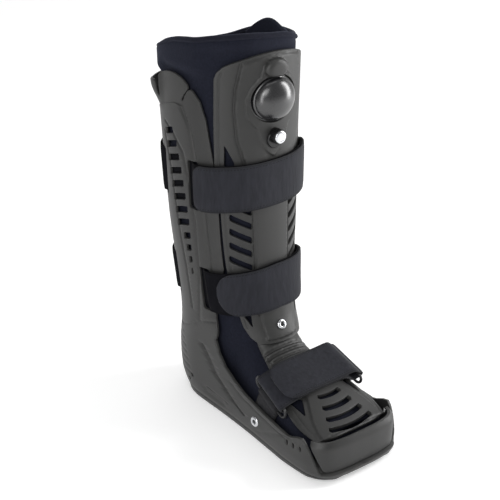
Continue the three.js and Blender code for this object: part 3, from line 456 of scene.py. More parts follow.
# Height, reach back and half length of the vents.
ladder = [
    (169.2, -5.2, 1.6), (184.4, -4.8, 2.8), (198.4, -3.6, 4.4), (212.4, -2.2, 6.2), (222, 3.0, 11.0),
    (239, 5.4, 11.5), (281.3, 13.6, 11.8), (308, 20.0, 11.4), (321.5, 23.6, 8.4),
]

# Strap slots, in front and at the back: nearest and furthest reach, lowest and highest.
calf_slots = ((-23.5, -9.8, 245.5, 298.5), (35.3, 49.6, 245.5, 298.5))
ankle_slots = ((-30.8, -17.5, 128, 179), (29.4, 43.7, 128, 179))

# Small openings low in the wall: reach, height, half width, half height and corners.
wall_holes = [
    (22.3, 20.1, 2.2, 2.2, 11), (-166, 35, 1.7, 3.2, 12), (-176.5, 36.5, 1.7, 3.2, 12),
    (-187, 37.5, 1.6, 3.0, 12), (15, 27.6, 2.6, 1.9, 12),
]


def oval(u, v, wide, tall, corners):
    turns = np.linspace(0, 2 * math.pi, corners + 1)[:-1]
    return [(u + wide * math.cos(a), v + tall * math.sin(a)) for a in turns]


def rear_holes():
    holes = []
    for side in (-1, 1):
        for i in range(vent_count):
            z = mix(ladder[0][0], ladder[-1][0], i / (vent_count - 1))
            middle, half = linear(ladder, z, 1), linear(ladder, z, 2)
            low, high = z - vent_height / 2, z + vent_height / 2
            corner = min(vent_corner, 0.8 * half)
            slot = rounded(middle - half, middle + half, low, high, corner, -vent_lean * 2 * half)
            holes.append([rear_flat(y, v, side) for y, v in slot])
        for near, far, low, high in calf_slots + ankle_slots:
            holes.append([rear_flat(y, v, side) for y, v in rounded(near, far, low, high, slot_corner)])
        for form in wall_holes:
            holes.append([rear_flat(y, v, side) for y, v in oval(*form)])
    return holes


# Lines pressed into the wall, as reach and height, with half width and depth.
rear_lines = [
    ([(31.3, 330), (15.3, 323), (-2.8, 304.6), (-9.9, 278.6), (-17.5, 229.9), (-17.4, 172.9),
      (-7.5, 108.3)], 1.3, 0.8),
    ([(-3.1, 353), (-14.6, 332.5), (-20.2, 303.8), (-29.6, 248.2), (-33.3, 192), (-29, 130)], 1.3, 0.8),
    ([(34, 318), (22, 281), (12, 225), (5, 172), (4, 120)], 1.3, 0.8),
    ([(-35, 117.4), (-14, 110), (16.2, 93.3), (40, 84)], 1.2, 0.8),
    ([(-10, 79), (-24.2, 63.1), (-31.4, 52), (-43, 44.9), (-55.8, 36.7), (-68.6, 30.5),
      (-84.4, 24.3)], 0.9, 1.7),
    ([(-15.6, 26.1), (-33, 24.4), (-51.8, 23.7)], 0.9, 0.5),
    ([(-113, 17), (-136.3, 29.8), (-157.6, 39.5), (-172, 43)], 1.0, 0.7),
    ([(-60, 55), (-83, 46.5), (-120, 41.5), (-165, 38)], 1.0, 0.6),
]
heel_ribs = [(y, 16 + 0.05 * (y + 45)) for y in range(-10, -50, -5)]

# Lines across the back of the heel: how many, the lowest, their pitch, half length and how
# much shorter each is than the one below.
back_lines, back_low, back_pitch, back_reach, back_shrink = 14, 30, 8, 88, 2.5


def rear_grooves():
    found = []
    for side in (-1, 1):
        for line, half, depth in rear_lines:
            fine = dense(line, 9, closed=False)
            found.append(([rear_flat(y, z, side) for y, z in fine], half, depth))
        for y, z in heel_ribs:
            found.append(([rear_flat(y, z, side), rear_flat(y + 1.5, z + 6, side)], 0.9, 0.7))
    for i in range(back_lines):
        z = back_low + back_pitch * i
        reach = back_reach - back_shrink * i
        found.append(([(u, z) for u in np.linspace(-reach, reach, 21)], 1.3, 0.6))
    return found


# The outer layer of the wall stops at a ledge below the lobe and along a step down the side.
ledge = [(-55.7, 338), (-69, 343.6), (-82.5, 349.7), (-94.5, 354.8), (-102.3, 354)]
side_step = [(-14.6, 332.5), (-20.2, 303.8), (-29.6, 248.2), (-33.3, 192), (-29, 130)]
layer_step = 0.9


def thin_layer(side):
    loop = [(0, 330), (side * 28, 331.5)] + [(-side * u, z) for u, z in ledge]
    loop += [rear_flat(y, z, side) for y, z in side_step]
    return loop + [(side * 185, 126), (side * 185, 430), (0, 430)]


toe_thicker = 4


def rear_wall(u, z):
    """The wall's thickness, which grows low at the toe."""
    return wall + toe_thicker * ease(146, 160, abs(u)) * (1 - ease(14, 24, z))


rear_shell = moulding(
    "rear_shell_moulding", rear_outline(), rear_holes(), rear_place, rear_wall,
    grooves=rear_grooves(), pads=[(thin_layer(side), -layer_step, 0.9, False) for side in (-1, 1)],
    grid=3.2, seam=lambda p: abs(p[0]) > 199.99,
)


def slab_faces(rows, steps):
    """Faces of a slab between two layers of points, in so many rows and steps."""
    width, layer = steps + 1, (rows + 1) * (steps + 1)
    faces = []
    for a in (i * width + k for i in range(rows) for k in range(steps)):
        quad = (a, a + 1, a + width + 1, a + width)
        faces += [quad, tuple(v + layer for v in quad[::-1])]
    for a in (i * width + k for i in range(rows) for k in (0, steps)):
        faces.append((a, a + width, a + width + layer, a + layer))
    for a in (i * width + k for i in (0, rows) for k in range(steps)):
        faces.append((a, a + 1, a + 1 + layer, a + layer))
    return faces


deck_inset = 3.0


def deck_mesh(rows=60, steps=12):
    """The solid deck between the side walls, with the rocker underside."""
    points = []
    for level in (0, 1):
        for i in range(rows + 1):
            y = mix(-toe_reach + 3.4, 64, i / rows)
            under = linear(underside, y) + 0.4
            z = under if level == 0 else max(under + 0.3, min(deck_top, under + 20))
            half = boot_spot(turn_at(y, 12, inset=deck_inset), 12, deck_inset)[0]
            if level and y < -205:
                z = lip_top - 0.2
            points += [(half * mix(-1, 1, k / steps), y, z) for k in range(steps + 1)]
    return new_object("rear_shell_deck", points, slab_faces(rows, steps))


rear_deck = deck_mesh()


def shader_of(name, colour, roughness):
    """A new material with its colour and roughness, and the nodes to add to."""
    made = bpy.data.materials.new(name)
    made.use_nodes = True
    made.diffuse_color = (*colour, 1)
    nodes, links = made.node_tree.nodes, made.node_tree.links
    shader = nodes["Principled BSDF"]
    shader.inputs["Base Color"].default_value = (*colour, 1)
    shader.inputs["Roughness"].default_value = roughness
    return made, nodes, links, shader


def shade(colour, share):
    return tuple(share * c for c in colour)


def grain(nodes, links, scale, detail, stretch=(1, 1, 1)):
    """Noise in the part's own space. The stretch thins it along an axis."""
    place = nodes.new("ShaderNodeTexCoord")
    mapping = nodes.new("ShaderNodeMapping")
    mapping.inputs["Scale"].default_value = stretch
    texture = nodes.new("ShaderNodeTexNoise")
    texture.inputs["Scale"].default_value = scale
    texture.inputs["Detail"].default_value = detail
    links.new(place.outputs["Object"], mapping.inputs["Vector"])
    links.new(mapping.outputs["Vector"], texture.inputs["Vector"])
    return texture.outputs["Fac"]


def ramp(nodes, links, source, stops):
    made = nodes.new("ShaderNodeValToRGB")
    links.new(source, made.inputs["Fac"])
    made.color_ramp.elements[0].position = stops[0][0]
    made.color_ramp.elements[0].color = (*stops[0][1], 1)
    made.color_ramp.elements[1].position = stops[-1][0]
    made.color_ramp.elements[1].color = (*stops[-1][1], 1)
    return made.outputs["Color"]


def ranged(nodes, links, value, end, low, high):
    """A value fitted to a range: the end is From or To, and the other stays 0 to 1."""
    made = nodes.new("ShaderNodeMapRange")
    made.inputs[f"{end} Min"].default_value = low
    made.inputs[f"{end} Max"].default_value = high
    links.new(value, made.inputs["Value"])
    return made.outputs["Result"]


def bump(nodes, links, shader, height, strength, distance):
    made = nodes.new("ShaderNodeBump")
    made.inputs["Strength"].default_value = strength
    made.inputs["Distance"].default_value = distance
    links.new(height, made.inputs["Height"])
    links.new(made.outputs["Normal"], shader.inputs["Normal"])


def plug(links, value, socket):
    """Links the value where it is a socket, and sets it where it is a number or a colour."""
    if hasattr(value, "is_linked"):
        links.new(value, socket)
    else:
        socket.default_value = (*value, 1) if isinstance(value, tuple) else value


def blend_colours(nodes, links, factor, first, second):
    made = nodes.new("ShaderNodeMix")
    made.data_type = "RGBA"
    for label, value in (("Factor", factor), ("A", first), ("B", second)):
        plug(links, value, made.inputs[label])
    return made.outputs["Result"]


def moulded_plastic(name, colour, roughness):
    """Moulded nylon: a fine spark grain, faint flow marks and paler edges, part wear and part painted
    highlight.
    """
    made, nodes, links, shader = shader_of(name, colour, roughness)
    flow = grain(nodes, links, 9, 3, (1, 1, 0.4))
    tone = ramp(nodes, links, flow, [(0.3, shade(colour, 0.88)), (0.7, shade(colour, 1.12))])
    bend = nodes.new("ShaderNodeNewGeometry").outputs["Pointiness"]
    edges = ranged(nodes, links, bend, "From", 0.52, 0.62)
    # Convex edges are painted 1.9 times paler: part wear, part painted highlight where light catches the
    # rounded rims.
    worn_and_lit_edges = blend_colours(nodes, links, edges, tone, shade(colour, 1.9))
    links.new(worn_and_lit_edges, shader.inputs["Base Color"])
    spread = ranged(nodes, links, flow, "To", roughness - 0.08, roughness + 0.1)
    links.new(spread, shader.inputs["Roughness"])
    bump(nodes, links, shader, grain(nodes, links, 1500, 2), 0.25, 0.0002)
    shader.inputs["Specular IOR Level"].default_value = 0.4
    return made


charcoal = moulded_plastic("charcoal_plastic", (0.02, 0.02, 0.0195), 0.48)
for piece in (rear_shell, rear_deck):
    piece.data.materials.append(charcoal)
    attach(piece, "boot")
    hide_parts("rear_shell")

# Toe cap. A charcoal moulding with a rolled top edge that stands on the lip of the deck,
# a step back from it, and butts against the side walls.
cap_scale = 130
cap_step = 5
cap_side = 1.2
cap_bottom = lip_top + 1.4
cap_roll = 3.2
cap_roll_ends = (40, 50)
mid_strip = 1.2


def cap_spot(u, z):
    roll = cap_roll * ease(*cap_roll_ends, z) ** 1.5
    x, y = boot_spot(u / cap_scale, z, cap_side + roll, toe_reach - cap_step + cap_side)
    return x, y, z


def cap_place(u, z, depth):
    at = u if abs(u) > mid_strip else math.copysign(mid_strip, u or 1)
    normal = outward(cap_spot, at, z)
    if abs(u) <= mid_strip:
        normal = Vector((0, normal.y, normal.z)).normalized()
    base = Vector(cap_spot(u, z))
    if normal.dot(base - Vector((0, -150, 20))) < 0:
        normal = -normal
    return base - normal * depth


def cap_flat(y, z, side):
    return side * cap_scale * turn_at(y, z, lambda turn, at, inset: cap_spot(turn * cap_scale, at)[:2]), z


cap_seam = [(-211.5, cap_bottom), (-209, 17.4), (-205.5, 27), (-200.5, 39.1), (-197, 45), (-195.5, 48.6)]
cap_half = [cap_flat(y, z, 1) for y, z in cap_seam]
cap_top = [(u, 48.9) for u in np.linspace(cap_half[-1][0] - 3, 0, 12)]
cap_low = [(u, cap_bottom) for u in np.linspace(0, cap_half[0][0] - 3, 12)]
cap_loop = cap_low + cap_half + cap_top
cap_loop += [(-u, z) for u, z in (cap_top[-2::-1] + cap_half[::-1] + cap_low[:0:-1])]
toe_cap = moulding("toe_cap_moulding", cap_loop, [], cap_place, wall, grid=2.6)
toe_cap.data.materials.append(charcoal)
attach(toe_cap, "boot")
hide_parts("toe_cap")

# Outsole. Black rubber bonded under the deck, flat in the middle and lifted at heel and
# toe, with cross grooves moulded into the tread.
tread = [
    (-213, 6.1), (-212, 6), (-190.9, 2.4), (-146.5, 0), (30.2, 0), (47.9, 3), (60.5, 9.6), (61.5, 10.2),
]
tread_pitch = 9
tread_groove = 2.2
tread_depth = 1.6
tread_lean = 4
tread_share = 0.975
sole_inset = 2.6


def outsole_mesh(steps=28):
    stations = list(np.arange(-215.5, 61.5, 1.1))
    points = []
    for level in (0, 1):
        for y in stations:
            half = boot_spot(turn_at(y, 4, inset=sole_inset), 4, sole_inset)[0]
            for k in range(steps + 1):
                across = mix(-1, 1, k / steps)
                x = half * across * (1 if level else tread_share)
                if level:
                    z = linear(underside, y) - 0.3
                else:
                    z = linear(tread, y)
                    phase = (y - tread_lean * abs(across)) % tread_pitch
                    if phase < tread_groove and 0.08 < abs(across) < 0.9:
                        z += tread_depth
                    if abs(across) > 0.96:
                        z += 0.8
                points.append((x, y, z))
    return new_object("outsole_rubber", points, slab_faces(len(stations) - 1, steps))


outsole = outsole_mesh()


def rubber(name, colour, roughness):
    made, nodes, links, shader = shader_of(name, colour, roughness)
    bump(nodes, links, shader, grain(nodes, links, 700, 3), 0.2, 0.0002)
    dust = ramp(nodes, links, grain(nodes, links, 30, 4), [(0.4, colour), (0.8, shade(colour, 2.2))])
    links.new(dust, shader.inputs["Base Color"])
    return made


outsole.data.materials.append(rubber("sole_rubber", (0.012, 0.012, 0.012), 0.5))
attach(outsole, "boot")
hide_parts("outsole")

# Liner. Foam faced with a dark navy knit: a sleeve round the leg that is sewn to an
# open-toed bootie. Its rim is bound with tape.
liner_thick = 7
liner_side = wall + 3.5

# Height of the rim against degrees from the front, on either side.
rim_left = [
    (0, 430.2), (15, 432.2), (30, 432.3), (45, 431.2), (60, 429.4), (75, 426.4), (90, 423.5), (105, 416.5),
    (120, 407.8), (150, 397), (180, 390),
]
rim_right = [
    (0, 430.2), (15, 428), (30, 423.7), (45, 418.6), (60, 416), (75, 415), (90, 414.5), (100, 412.5),
    (115, 407.5), (140, 396.5), (180, 390),
]
side_flare = 5.2
front_flare = 2.4
liner_floor = deck_top + 0.3
sleeve_top, sleeve_levels, rim_levels = 380, 60, 16
form_top = shell_top + 4
room_rise = 7

# Reach as a share of the foot's, height as a share of the shell's, and width as a share of
# the room between the side walls.
bootie_rows = [
    (0.02, 0.3, 0.86), (0.25, 0.285, 0.86), (0.34, 0.245, 0.88), (0.4, 0.208, 0.9), (0.48, 0.19, 0.93),
    (0.6, 0.168, 0.97), (0.7, 0.15, 0.97), (0.78, 0.131, 0.97), (0.86, 0.108, 0.94),
]


def rim_height(turn):
    degrees = abs(turn) * 90
    return smooth(rim_right if turn >= 0 else rim_left, degrees, 1)


def rim_flare(turn, z):
    """The padding swells over the top of the shells."""
    beside = ease(0.6, 0.85, abs(turn))
    low = mix(385, 371, ease(1.2, 1.4, abs(turn)))
    return side_flare * beside * ease(low, low + 13, z) + front_flare * (1 - beside) * ease(413, 423, z)


def wrinkle(turn, z):
    """Slow swell of the foam, in millimetres."""
    return 0.5 * math.sin(7 * turn + 0.021 * z) * math.sin(0.05 * z + 2.2 * turn)


def sleeve_rows(inset, past):
    """Rings up the leg, from the floor to the rim."""
    floor = liner_floor + (room_rise if inset > 4 else 0)
    heights = list(np.linspace(floor, sleeve_top, sleeve_levels)) + [None] * rim_levels
    rows = []
    turns = np.linspace(-2, 2, 121)[:-1]
    for level, z in enumerate(heights):
        ring = []
        for turn in turns:
            if z is None:
                share = (level - sleeve_levels + 1) / rim_levels
                at = mix(sleeve_top, rim_height(turn) + past, share)
            else:
                share, at = 0, z
            bound = min(at, form_top)
            front = mix(2 * wall + 4, wall + 1, ease(155, 197, bound)) + inset
            roll = 0 if past else 3.4 * max(0, (share - 0.82) / 0.18) ** 2
            deep = inset + (roll if inset < 4 else -0.3 * roll) - rim_flare(turn, at)
            x, y = leg_spot(turn, bound, liner_side + deep, front + deep - inset, wall + 1 + deep)
            swell = wrinkle(turn, at) * (0.4 if inset < 4 else 1)
            length = math.hypot(x, y)
            ring.append((x * (1 + swell / length), y * (1 + swell / length), at))
        rows.append(ring)
    return rows


def bootie_rings(inset, past):
    rows = []
    keys = [(row[0] * toe_reach, row[1] * shell_top, row[2]) for row in bootie_rows]
    stations = np.linspace(keys[0][0], keys[-1][0] + past, 40)
    for reach in stations:
        y = -reach
        wide = boot_spot(turn_at(max(y, -0.9 * toe_reach), 30), 30, liner_side)[0]
        half = linear(keys, reach, 2) * wide - inset
        low, high = liner_floor + inset, smooth(keys, min(reach, keys[-1][0]), 1) - inset
        ring = []
        for i in range(48):
            angle = 2 * math.pi * i / 48
            x = half * power(math.cos(angle), 2 / 2.8)
            rise = power(math.sin(angle), 1 if math.sin(angle) > 0 else 0.4)
            ring.append((x, y, mix(low, high, (1 + rise) / 2)))
        rows.append(ring)
    return rows


def ring_faces(rows, count, closed=False):
    """Faces between rings of so many points. A closed run joins the last ring to the first."""
    faces = []
    for r in range(rows if closed else rows - 1):
        n = (r + 1) % rows
        for i in range(count):
            j = (i + 1) % count
            faces.append((r * count + i, r * count + j, n * count + j, n * count + i))
    return faces


def capped(name, rows):
    """A closed body through rings."""
    count = len(rows[0])
    points = [point for row in rows for point in row]
    faces = ring_faces(len(rows), count)
    for r in (0, len(rows) - 1):
        middle = tuple(sum(p[axis] for p in rows[r]) / count for axis in range(3))
        points.append(middle)
        faces += [(r * count + i, r * count + (i + 1) % count, len(points) - 1) for i in range(count)]
    return new_object(name, points, faces)


def combined(first, second, operation):
    """Joins or cuts one body with another, which is then gone."""
    change = first.modifiers.new("change", "BOOLEAN")
    change.operation = operation
    change.object = second
    change.solver = "EXACT"
    graph = bpy.context.evaluated_depsgraph_get()
    result = bpy.data.meshes.new_from_object(first.evaluated_get(graph))
    first.modifiers.clear()
    first.data = result
    bpy.data.objects.remove(second)
    return first


liner = combined(capped("liner_padding", sleeve_rows(0, 0)), capped("bootie", bootie_rings(0, 0)), "UNION")
liner_room = combined(
    capped("leg_room", sleeve_rows(liner_thick, 20)), capped("foot_room", bootie_rings(4, 20)), "UNION"
)
liner = combined(liner, liner_room, "DIFFERENCE")
liner.data.shade_smooth()
liner.data.set_sharp_from_angle(angle=math.radians(55))


def knit(name, colour):
    """Napped knit over foam, with soft light on its pile."""
    made, nodes, links, shader = shader_of(name, colour, 0.95)
    pile = grain(nodes, links, 420, 4)
    blotch = grain(nodes, links, 26, 3)
    tone = ramp(nodes, links, pile, [(0.3, shade(colour, 0.75)), (0.72, shade(colour, 1.5))])
    links.new(blend_colours(nodes, links, blotch, tone, colour), shader.inputs["Base Color"])
    shader.inputs["Specular IOR Level"].default_value = 0.15
    shader.inputs["Sheen Weight"].default_value = 0.06
    shader.inputs["Sheen Roughness"].default_value = 0.5
    shader.inputs["Sheen Tint"].default_value = (0.4, 0.45, 0.7, 1)
    bump(nodes, links, shader, pile, 0.5, 0.0006)
    return made


navy_knit = knit("navy_knit", (0.0075, 0.0085, 0.015))
liner.data.materials.append(navy_knit)
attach(liner, "boot")
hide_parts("liner")


def tube(name, path, radius_out, radius_up, sides=10):
    """A rounded band along a closed path of (point, out, up)."""
    points = []
    for centre, out, up in path:
        for i in range(sides):
            angle = 2 * math.pi * i / sides
            spoke = out * radius_out * math.cos(angle)
            points.append(Vector(centre) + spoke + up * radius_up * math.sin(angle))
    return new_object(name, points, ring_faces(len(path), sides, True))


binding_path = []
for turn in np.linspace(-2, 2, 161)[:-1]:
    top = rim_height(turn)
    bound = min(top, form_top)
    middle = liner_thick / 2 - rim_flare(turn, top)
    x, y = leg_spot(turn, bound, liner_side + middle, wall + 1 + middle, wall + 1 + middle)
    out = Vector((x, y, 0)).normalized()
    binding_path.append(((x, y, top - 1.6), out, Vector((0, 0, 1))))
binding = tube("liner_binding", binding_path, liner_thick / 2 + 0.5, 3.0)
binding_tape = knit("binding_tape", (0.008, 0.0085, 0.014))
binding.data.materials.append(binding_tape)
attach(binding, "boot")

# Liner flap. The inner end of the wrap, a softer padded panel that lies inside the sleeve
# at the right of the front and stands a little above the rim.
flap_turns = (0.14, 1.3)
flap_edge = [
    (0.14, 408), (0.3, 417), (0.6, 419.5), (0.8, 421), (1.0, 424.5), (1.14, 418), (1.3, 405),
]
flap_low = 345
flap_thick = 5


def flap_mesh(steps=40, rows=26, round_steps=8):
    points = []
    profile = [(i / rows, 0.0) for i in range(rows + 1)]
    for i in range(1, round_steps):
        profile.append((1 + 0.02 * math.sin(math.pi * i / round_steps), i / round_steps))
    profile += [(i / rows, 1.0) for i in range(rows, -1, -1)]
    for k in range(steps + 1):
        turn = mix(*flap_turns, k / steps)
        top = smooth(flap_edge, turn, 1)
        sides = [math.sin(math.pi * min(8 * share, 0.5)) for share in (k / steps, 1 - k / steps)]
        pinch = sides[0] * sides[1]
        for rise, deep in profile:
            z = mix(flap_low, top, rise)
            room = liner_thick + 0.9 + flap_thick * (0.5 + (deep - 0.5) * (0.25 + 0.75 * pinch))
            room += 0.7 * math.sin(9 * turn + 0.03 * z)
            x, y = leg_spot(turn, min(z, form_top), liner_side + room, wall + 1 + room, wall + 1 + room)
            points.append((x, y, z))
    width = len(profile)
    faces = ring_faces(steps + 1, width)
    faces += [tuple(range(width)), tuple(range(steps * width, (steps + 1) * width))]
    return new_object("liner_flap_padding", points, faces)


flap = flap_mesh()
flap.data.materials.append(navy_knit)
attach(flap, "boot")
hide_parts("liner_flap")

# Instep shell. A thin charcoal plate over the foot: plain at the ankle, three pressed ribs,
# then a raised panel between two ridges with curved slots over the toes.

# Middle line as reach and height, and at each reach the half width and the droop of the sides
# as shares of the leg's half width.
instep_line = [
    (68.4, 150), (73.3, 125), (79.3, 110), (86.4, 100.8), (95, 94.9), (103, 90.3), (111, 86.5), (125, 81.5),
    (139.9, 76), (155, 70.6), (168, 65.1), (180, 58.8), (192, 52.1), (204.4, 46.2),
]
instep_form = [
    (68.4, 0.39, 0.147), (79.3, 0.4, 0.16), (95, 0.425, 0.19), (111, 0.475, 0.21), (125, 0.56, 0.25),
    (139.9, 0.64, 0.28), (155, 0.7, 0.29), (168, 0.735, 0.27), (180, 0.755, 0.21), (192, 0.735, 0.13),
    (204.4, 0.68, 0.07),
]
instep_span = [0.0]
for (y0, z0), (y1, z1) in zip(instep_line, instep_line[1:]):
    instep_span.append(instep_span[-1] + math.hypot(y1 - y0, z1 - z0))
instep_reach = [(s, p[0]) for s, p in zip(instep_span, instep_line)]
instep_height = [(s, p[1]) for s, p in zip(instep_span, instep_line)]
instep_length = instep_span[-1]


def instep_spot(u, v):
    """u runs across in millimetres, v along the middle line from the ankle to the toes."""
    reach, z = smooth(instep_reach, v, 1), smooth(instep_height, v, 1)
    ahead = smooth(instep_reach, v + 0.5, 1) - smooth(instep_reach, v - 0.5, 1)
    fall = smooth(instep_height, v + 0.5, 1) - smooth(instep_height, v - 0.5, 1)
    size = math.hypot(ahead, fall) or 1
    up = Vector((0, fall / size, ahead / size))
    half = calf_half * smooth(instep_form, reach, 1)
    droop = calf_half * smooth(instep_form, reach, 2)
    across = min(abs(u) / half, 0.9999)
    drop = droop * (1 - (1 - across ** outline_power) ** (1 / outline_power))
    return Vector((u, -reach, z)) - up * drop


def instep_half(v):
    return calf_half * smooth(instep_form, smooth(instep_reach, v, 1), 1)


def instep_place(u, v, depth):
    inward = 0.98 * instep_half(v)
    normal = outward(instep_spot, max(-inward, min(inward, u)), v)
    if normal.z < 0:
        normal = -normal
    return instep_spot(u, v) - normal * depth


def instep_flat(x, reach):
    return x, float(np.interp(reach, [p[0] for p in instep_line], instep_span))


instep_sides = [(0.985 * instep_half(v), v) for v in np.linspace(0, instep_length - 5, 34)]
instep_front = [(u, instep_length - 0.7 - 4.5 * (u / 44.5) ** 4) for u in np.linspace(43, -43, 15)]
instep_loop = instep_sides + instep_front + [(-u, v) for u, v in instep_sides[::-1]]
toe_slots = [(163.6, 13.6), (176.5, 17.7), (188.3, 22.4), (199.4, 27.2)]
slot_width = 5
slot_bow = 0.13


def curved_slot(reach, half):
    """A slot whose ends run back towards the ankle."""
    middle = [(share * half, reach - slot_bow * half * share * share) for share in np.linspace(-1, 1, 13)]
    front = [instep_flat(x, y + slot_width / 2) for x, y in middle]
    back = [instep_flat(x, y - slot_width / 2) for x, y in middle[::-1]]
    tip = half + slot_width / 2 * 0.7
    return front + [instep_flat(tip, middle[0][1])] + back + [instep_flat(-tip, middle[0][1])]


toe_corner = [(28, 152.5), (41, 147), (38.5, 172)]


def round_off(loop, radius, steps=3):
    """The loop with its corners rounded."""
    points = []
    count = len(loop)
    for i in range(count):
        a, b, c = (Vector(loop[j % count]) for j in (i - 1, i, i + 1))
        into, out = (a - b), (c - b)
        near = min(radius, 0.4 * into.length, 0.4 * out.length)
        start, end = b + into.normalized() * near, b + out.normalized() * near
        for k in range(steps + 1):
            t = k / steps
            points.append(tuple(start.lerp(b, t).lerp(b.lerp(end, t), t)))
    return points


instep_holes = [curved_slot(reach, half) for reach, half in toe_slots]
for side in (-1, 1):
    instep_holes.append(round_off([instep_flat(side * x, y) for x, y in toe_corner], 3))
ridge = [(24, 130), (22.5, 140), (25.5, 155), (32, 168), (38, 180), (41.5, 192), (42, 202.5)]
panel_loop = [instep_flat(x, y) for x, y in ridge] + [instep_flat(-x, y) for x, y in ridge[::-1]]
rib_lines = [([(u, v) for u in range(-26, 27, 4)], 1.7, 2.1) for v in (61, 67, 73)]
instep_rim = [([(share * u, v) for u, v in instep_sides[12:-1]], 0.9, 0.5) for share in (0.9, -0.9)]
instep_shell = moulding(
    "instep_shell_moulding", instep_loop, instep_holes, instep_place, wall,
    grooves=rib_lines + instep_rim, pads=[(panel_loop, 1.8, 2.4, False)], grid=2.6,
)
instep_shell.data.materials.append(charcoal)
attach(instep_shell, "boot")
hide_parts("instep_shell")

# Shin shell. A charcoal plate down the front of the leg with a raised middle panel, a boss
# round the pump bulb and the valve with a hump above it, and slanting vents in its sides.
relief = 1.8
pump_height = 366
valve_height = 327.6
bulb_half = 25.8
bulb_rise = 23.3
bulb_gap = 1.3
boss_rise = 1.6
hump_rise = 5.6
hump_height = 397.8
shin_edge = [
    (-81.2, 101.2), (-73.1, 107.6), (-65.5, 117.3), (-60.7, 129.3), (-55, 151), (-49.4, 182), (-46, 250),
    (-41.6, 301.4), (-42.1, 347.2), (-43.6, 389.6), (-45.9, 396.2), (-51, 402),
]


def shin_spot(u, z):
    return (*leg_spot(u / flat_scale, z, 0), z)


def shin_place(u, z, depth):
    base = Vector(shin_spot(u, z))
    normal = outward(shin_spot, u if abs(u) > 2 else 2.0, z)
    if abs(u) <= 2:
        normal = Vector((0, normal.y, normal.z)).normalized()
    if normal.y > 0:
        normal = -normal
    return base - normal * depth


def shin_flat(y, z, side):
    return side * flat_scale * turn_at(y, z, leg_spot), z


def shin_across(x, z):
    """Where a front view point of the shin shell lies on the flat."""
    half = calf_half * smooth(body_rows, z / shell_top, 1)
    share = min(abs(x) / half, 1) ** (outline_power / 2)
    return math.copysign(math.asin(share) * 2 / math.pi * flat_scale, x), z


shin_side = [shin_flat(y, z, 1) for y, z in shin_edge]
shin_upper = [shin_across(x, z) for x, z in ((44, 405.5), (36, 408.3), (24, 411.3), (12, 413), (0, 413.6))]
shin_lower = [shin_across(x, z) for x, z in ((0, 101.2), (10, 101.2), (20, 101.2))]
shin_half = shin_lower + shin_side + shin_upper
shin_loop = shin_half + [(-u, z) for u, z in shin_half[-2:0:-1]]
chevron_count = 5
chevron_top = 253
chevron_pitch = 15.6
shin_holes = []
for side in (-1, 1):
    for i in range(chevron_count):
        z = chevron_top - i * chevron_pitch
        loop = [(24.4, z - 9.8), (44.9, z + 2.2), (44.9, z + 9.2), (24.4, z - 3)]
        shin_holes.append(round_off([shin_across(side * x, v) for x, v in loop], 2.4))
    high = [(48.6, 321.3), (48.6, 290), (40.8, 290), (40.8, 302.4)]
    low = [(36.7, 133.6), (29.6, 133.6), (29.6, 118.4)]
    shin_holes.append(round_off([shin_across(side * x, v) for x, v in high], 2.4))
    shin_holes.append(round_off([shin_across(side * x, v) for x, v in low], 1.6))
shin_panel = [(20.5, 104), (20.8, 130), (21, 190), (22.3, 249.3), (31.4, 300.5), (38.6, 326.8), (41.3, 360),
              (40.4, 380), (35.4, 406), (20, 409), (0, 410.5)]
panel_half = [shin_across(x, z) for x, z in shin_panel]
shin_pad = panel_half + [(-u, z) for u, z in panel_half[-2::-1]]
bulb_ring = oval(0, pump_height, bulb_half + bulb_gap, bulb_rise + bulb_gap, 64)
shin_holes.append([shin_across(x, z) for x, z in bulb_ring])
boss_side = [
    (0, 304.5), (5, 307), (11, 313), (15.5, 321), (17.8, 329), (20, 336), (25, 341), (29.5, 348),
    (32, 357), (32.3, 366), (30.8, 374), (27, 381), (21.5, 387), (17.5, 391), (16, 396),
    (14.4, 401), (10.5, 405.5), (5, 408),
]
boss_half = [shin_across(x, z) for x, z in boss_side]
boss_loop = boss_half + [shin_across(0, 408.7)] + [(-u, z) for u, z in boss_half[:0:-1]]
hump_loop = [shin_across(x, z) for x, z in oval(0, hump_height, 13.8, 10.4, 28)]
rim_line = [(u - 5.0, z) for u, z in shin_side[2:-1]]
panel_line = [(u + 0.8, z) for u, z in panel_half[1:9]]
shin_shell = moulding(
    "shin_shell_moulding", shin_loop, shin_holes, shin_place, wall,
    grooves=[([(side * u, z) for u, z in line], half, deep)
             for line, half, deep in ((rim_line, 0.9, 0.5), (panel_line, 1.0, 0.9)) for side in (-1, 1)],
    pads=[
        (shin_pad, relief, 2.0, False), (boss_loop, boss_rise, 1.6, False), (hump_loop, hump_rise, 5.5, True),
    ], grid=2.8,
)


def front_at(x, z):
    """How far forward the face of the boss lies."""
    return shin_spot(*shin_across(x, z))[1] - relief - boss_rise


shin_shell.data.materials.append(charcoal)
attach(shin_shell, "boot")
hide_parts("shin_shell")

# Straps round the leg. Slate grey loop fabric bonded to a thin foam tape, with stitched
# edges. Each dives through slots into the rear shell, passes behind its vents, comes out
# at the back, and lies folded back on itself over the shin.
strap_thick = 2.2
over_panel = relief + 0.6
over_shell = 0.8
behind_wall = wall + 0.6


def strip_mesh(name, sections, closed, uvs):
    """A flat band through sections of points that run round its edge."""
    rows, count = len(sections), len(sections[0])
    points = [point for section in sections for point in section]
    flat = [uv for row in uvs for uv in row]
    faces = ring_faces(rows, count, closed)
    if not closed:
        faces += [tuple(range(count)), tuple(range((rows - 1) * count, rows * count))]
    return new_object(name, points, faces, flat)


# Millimetres of cloth to a quarter turn, for the stitches, and how far its edges, its hem and
# the end's fold thin out.
cloth_scale = 105
edge_fall, hem_sink, fold_fall = 0.45, 0.25, 0.6
slot_room = 2.4


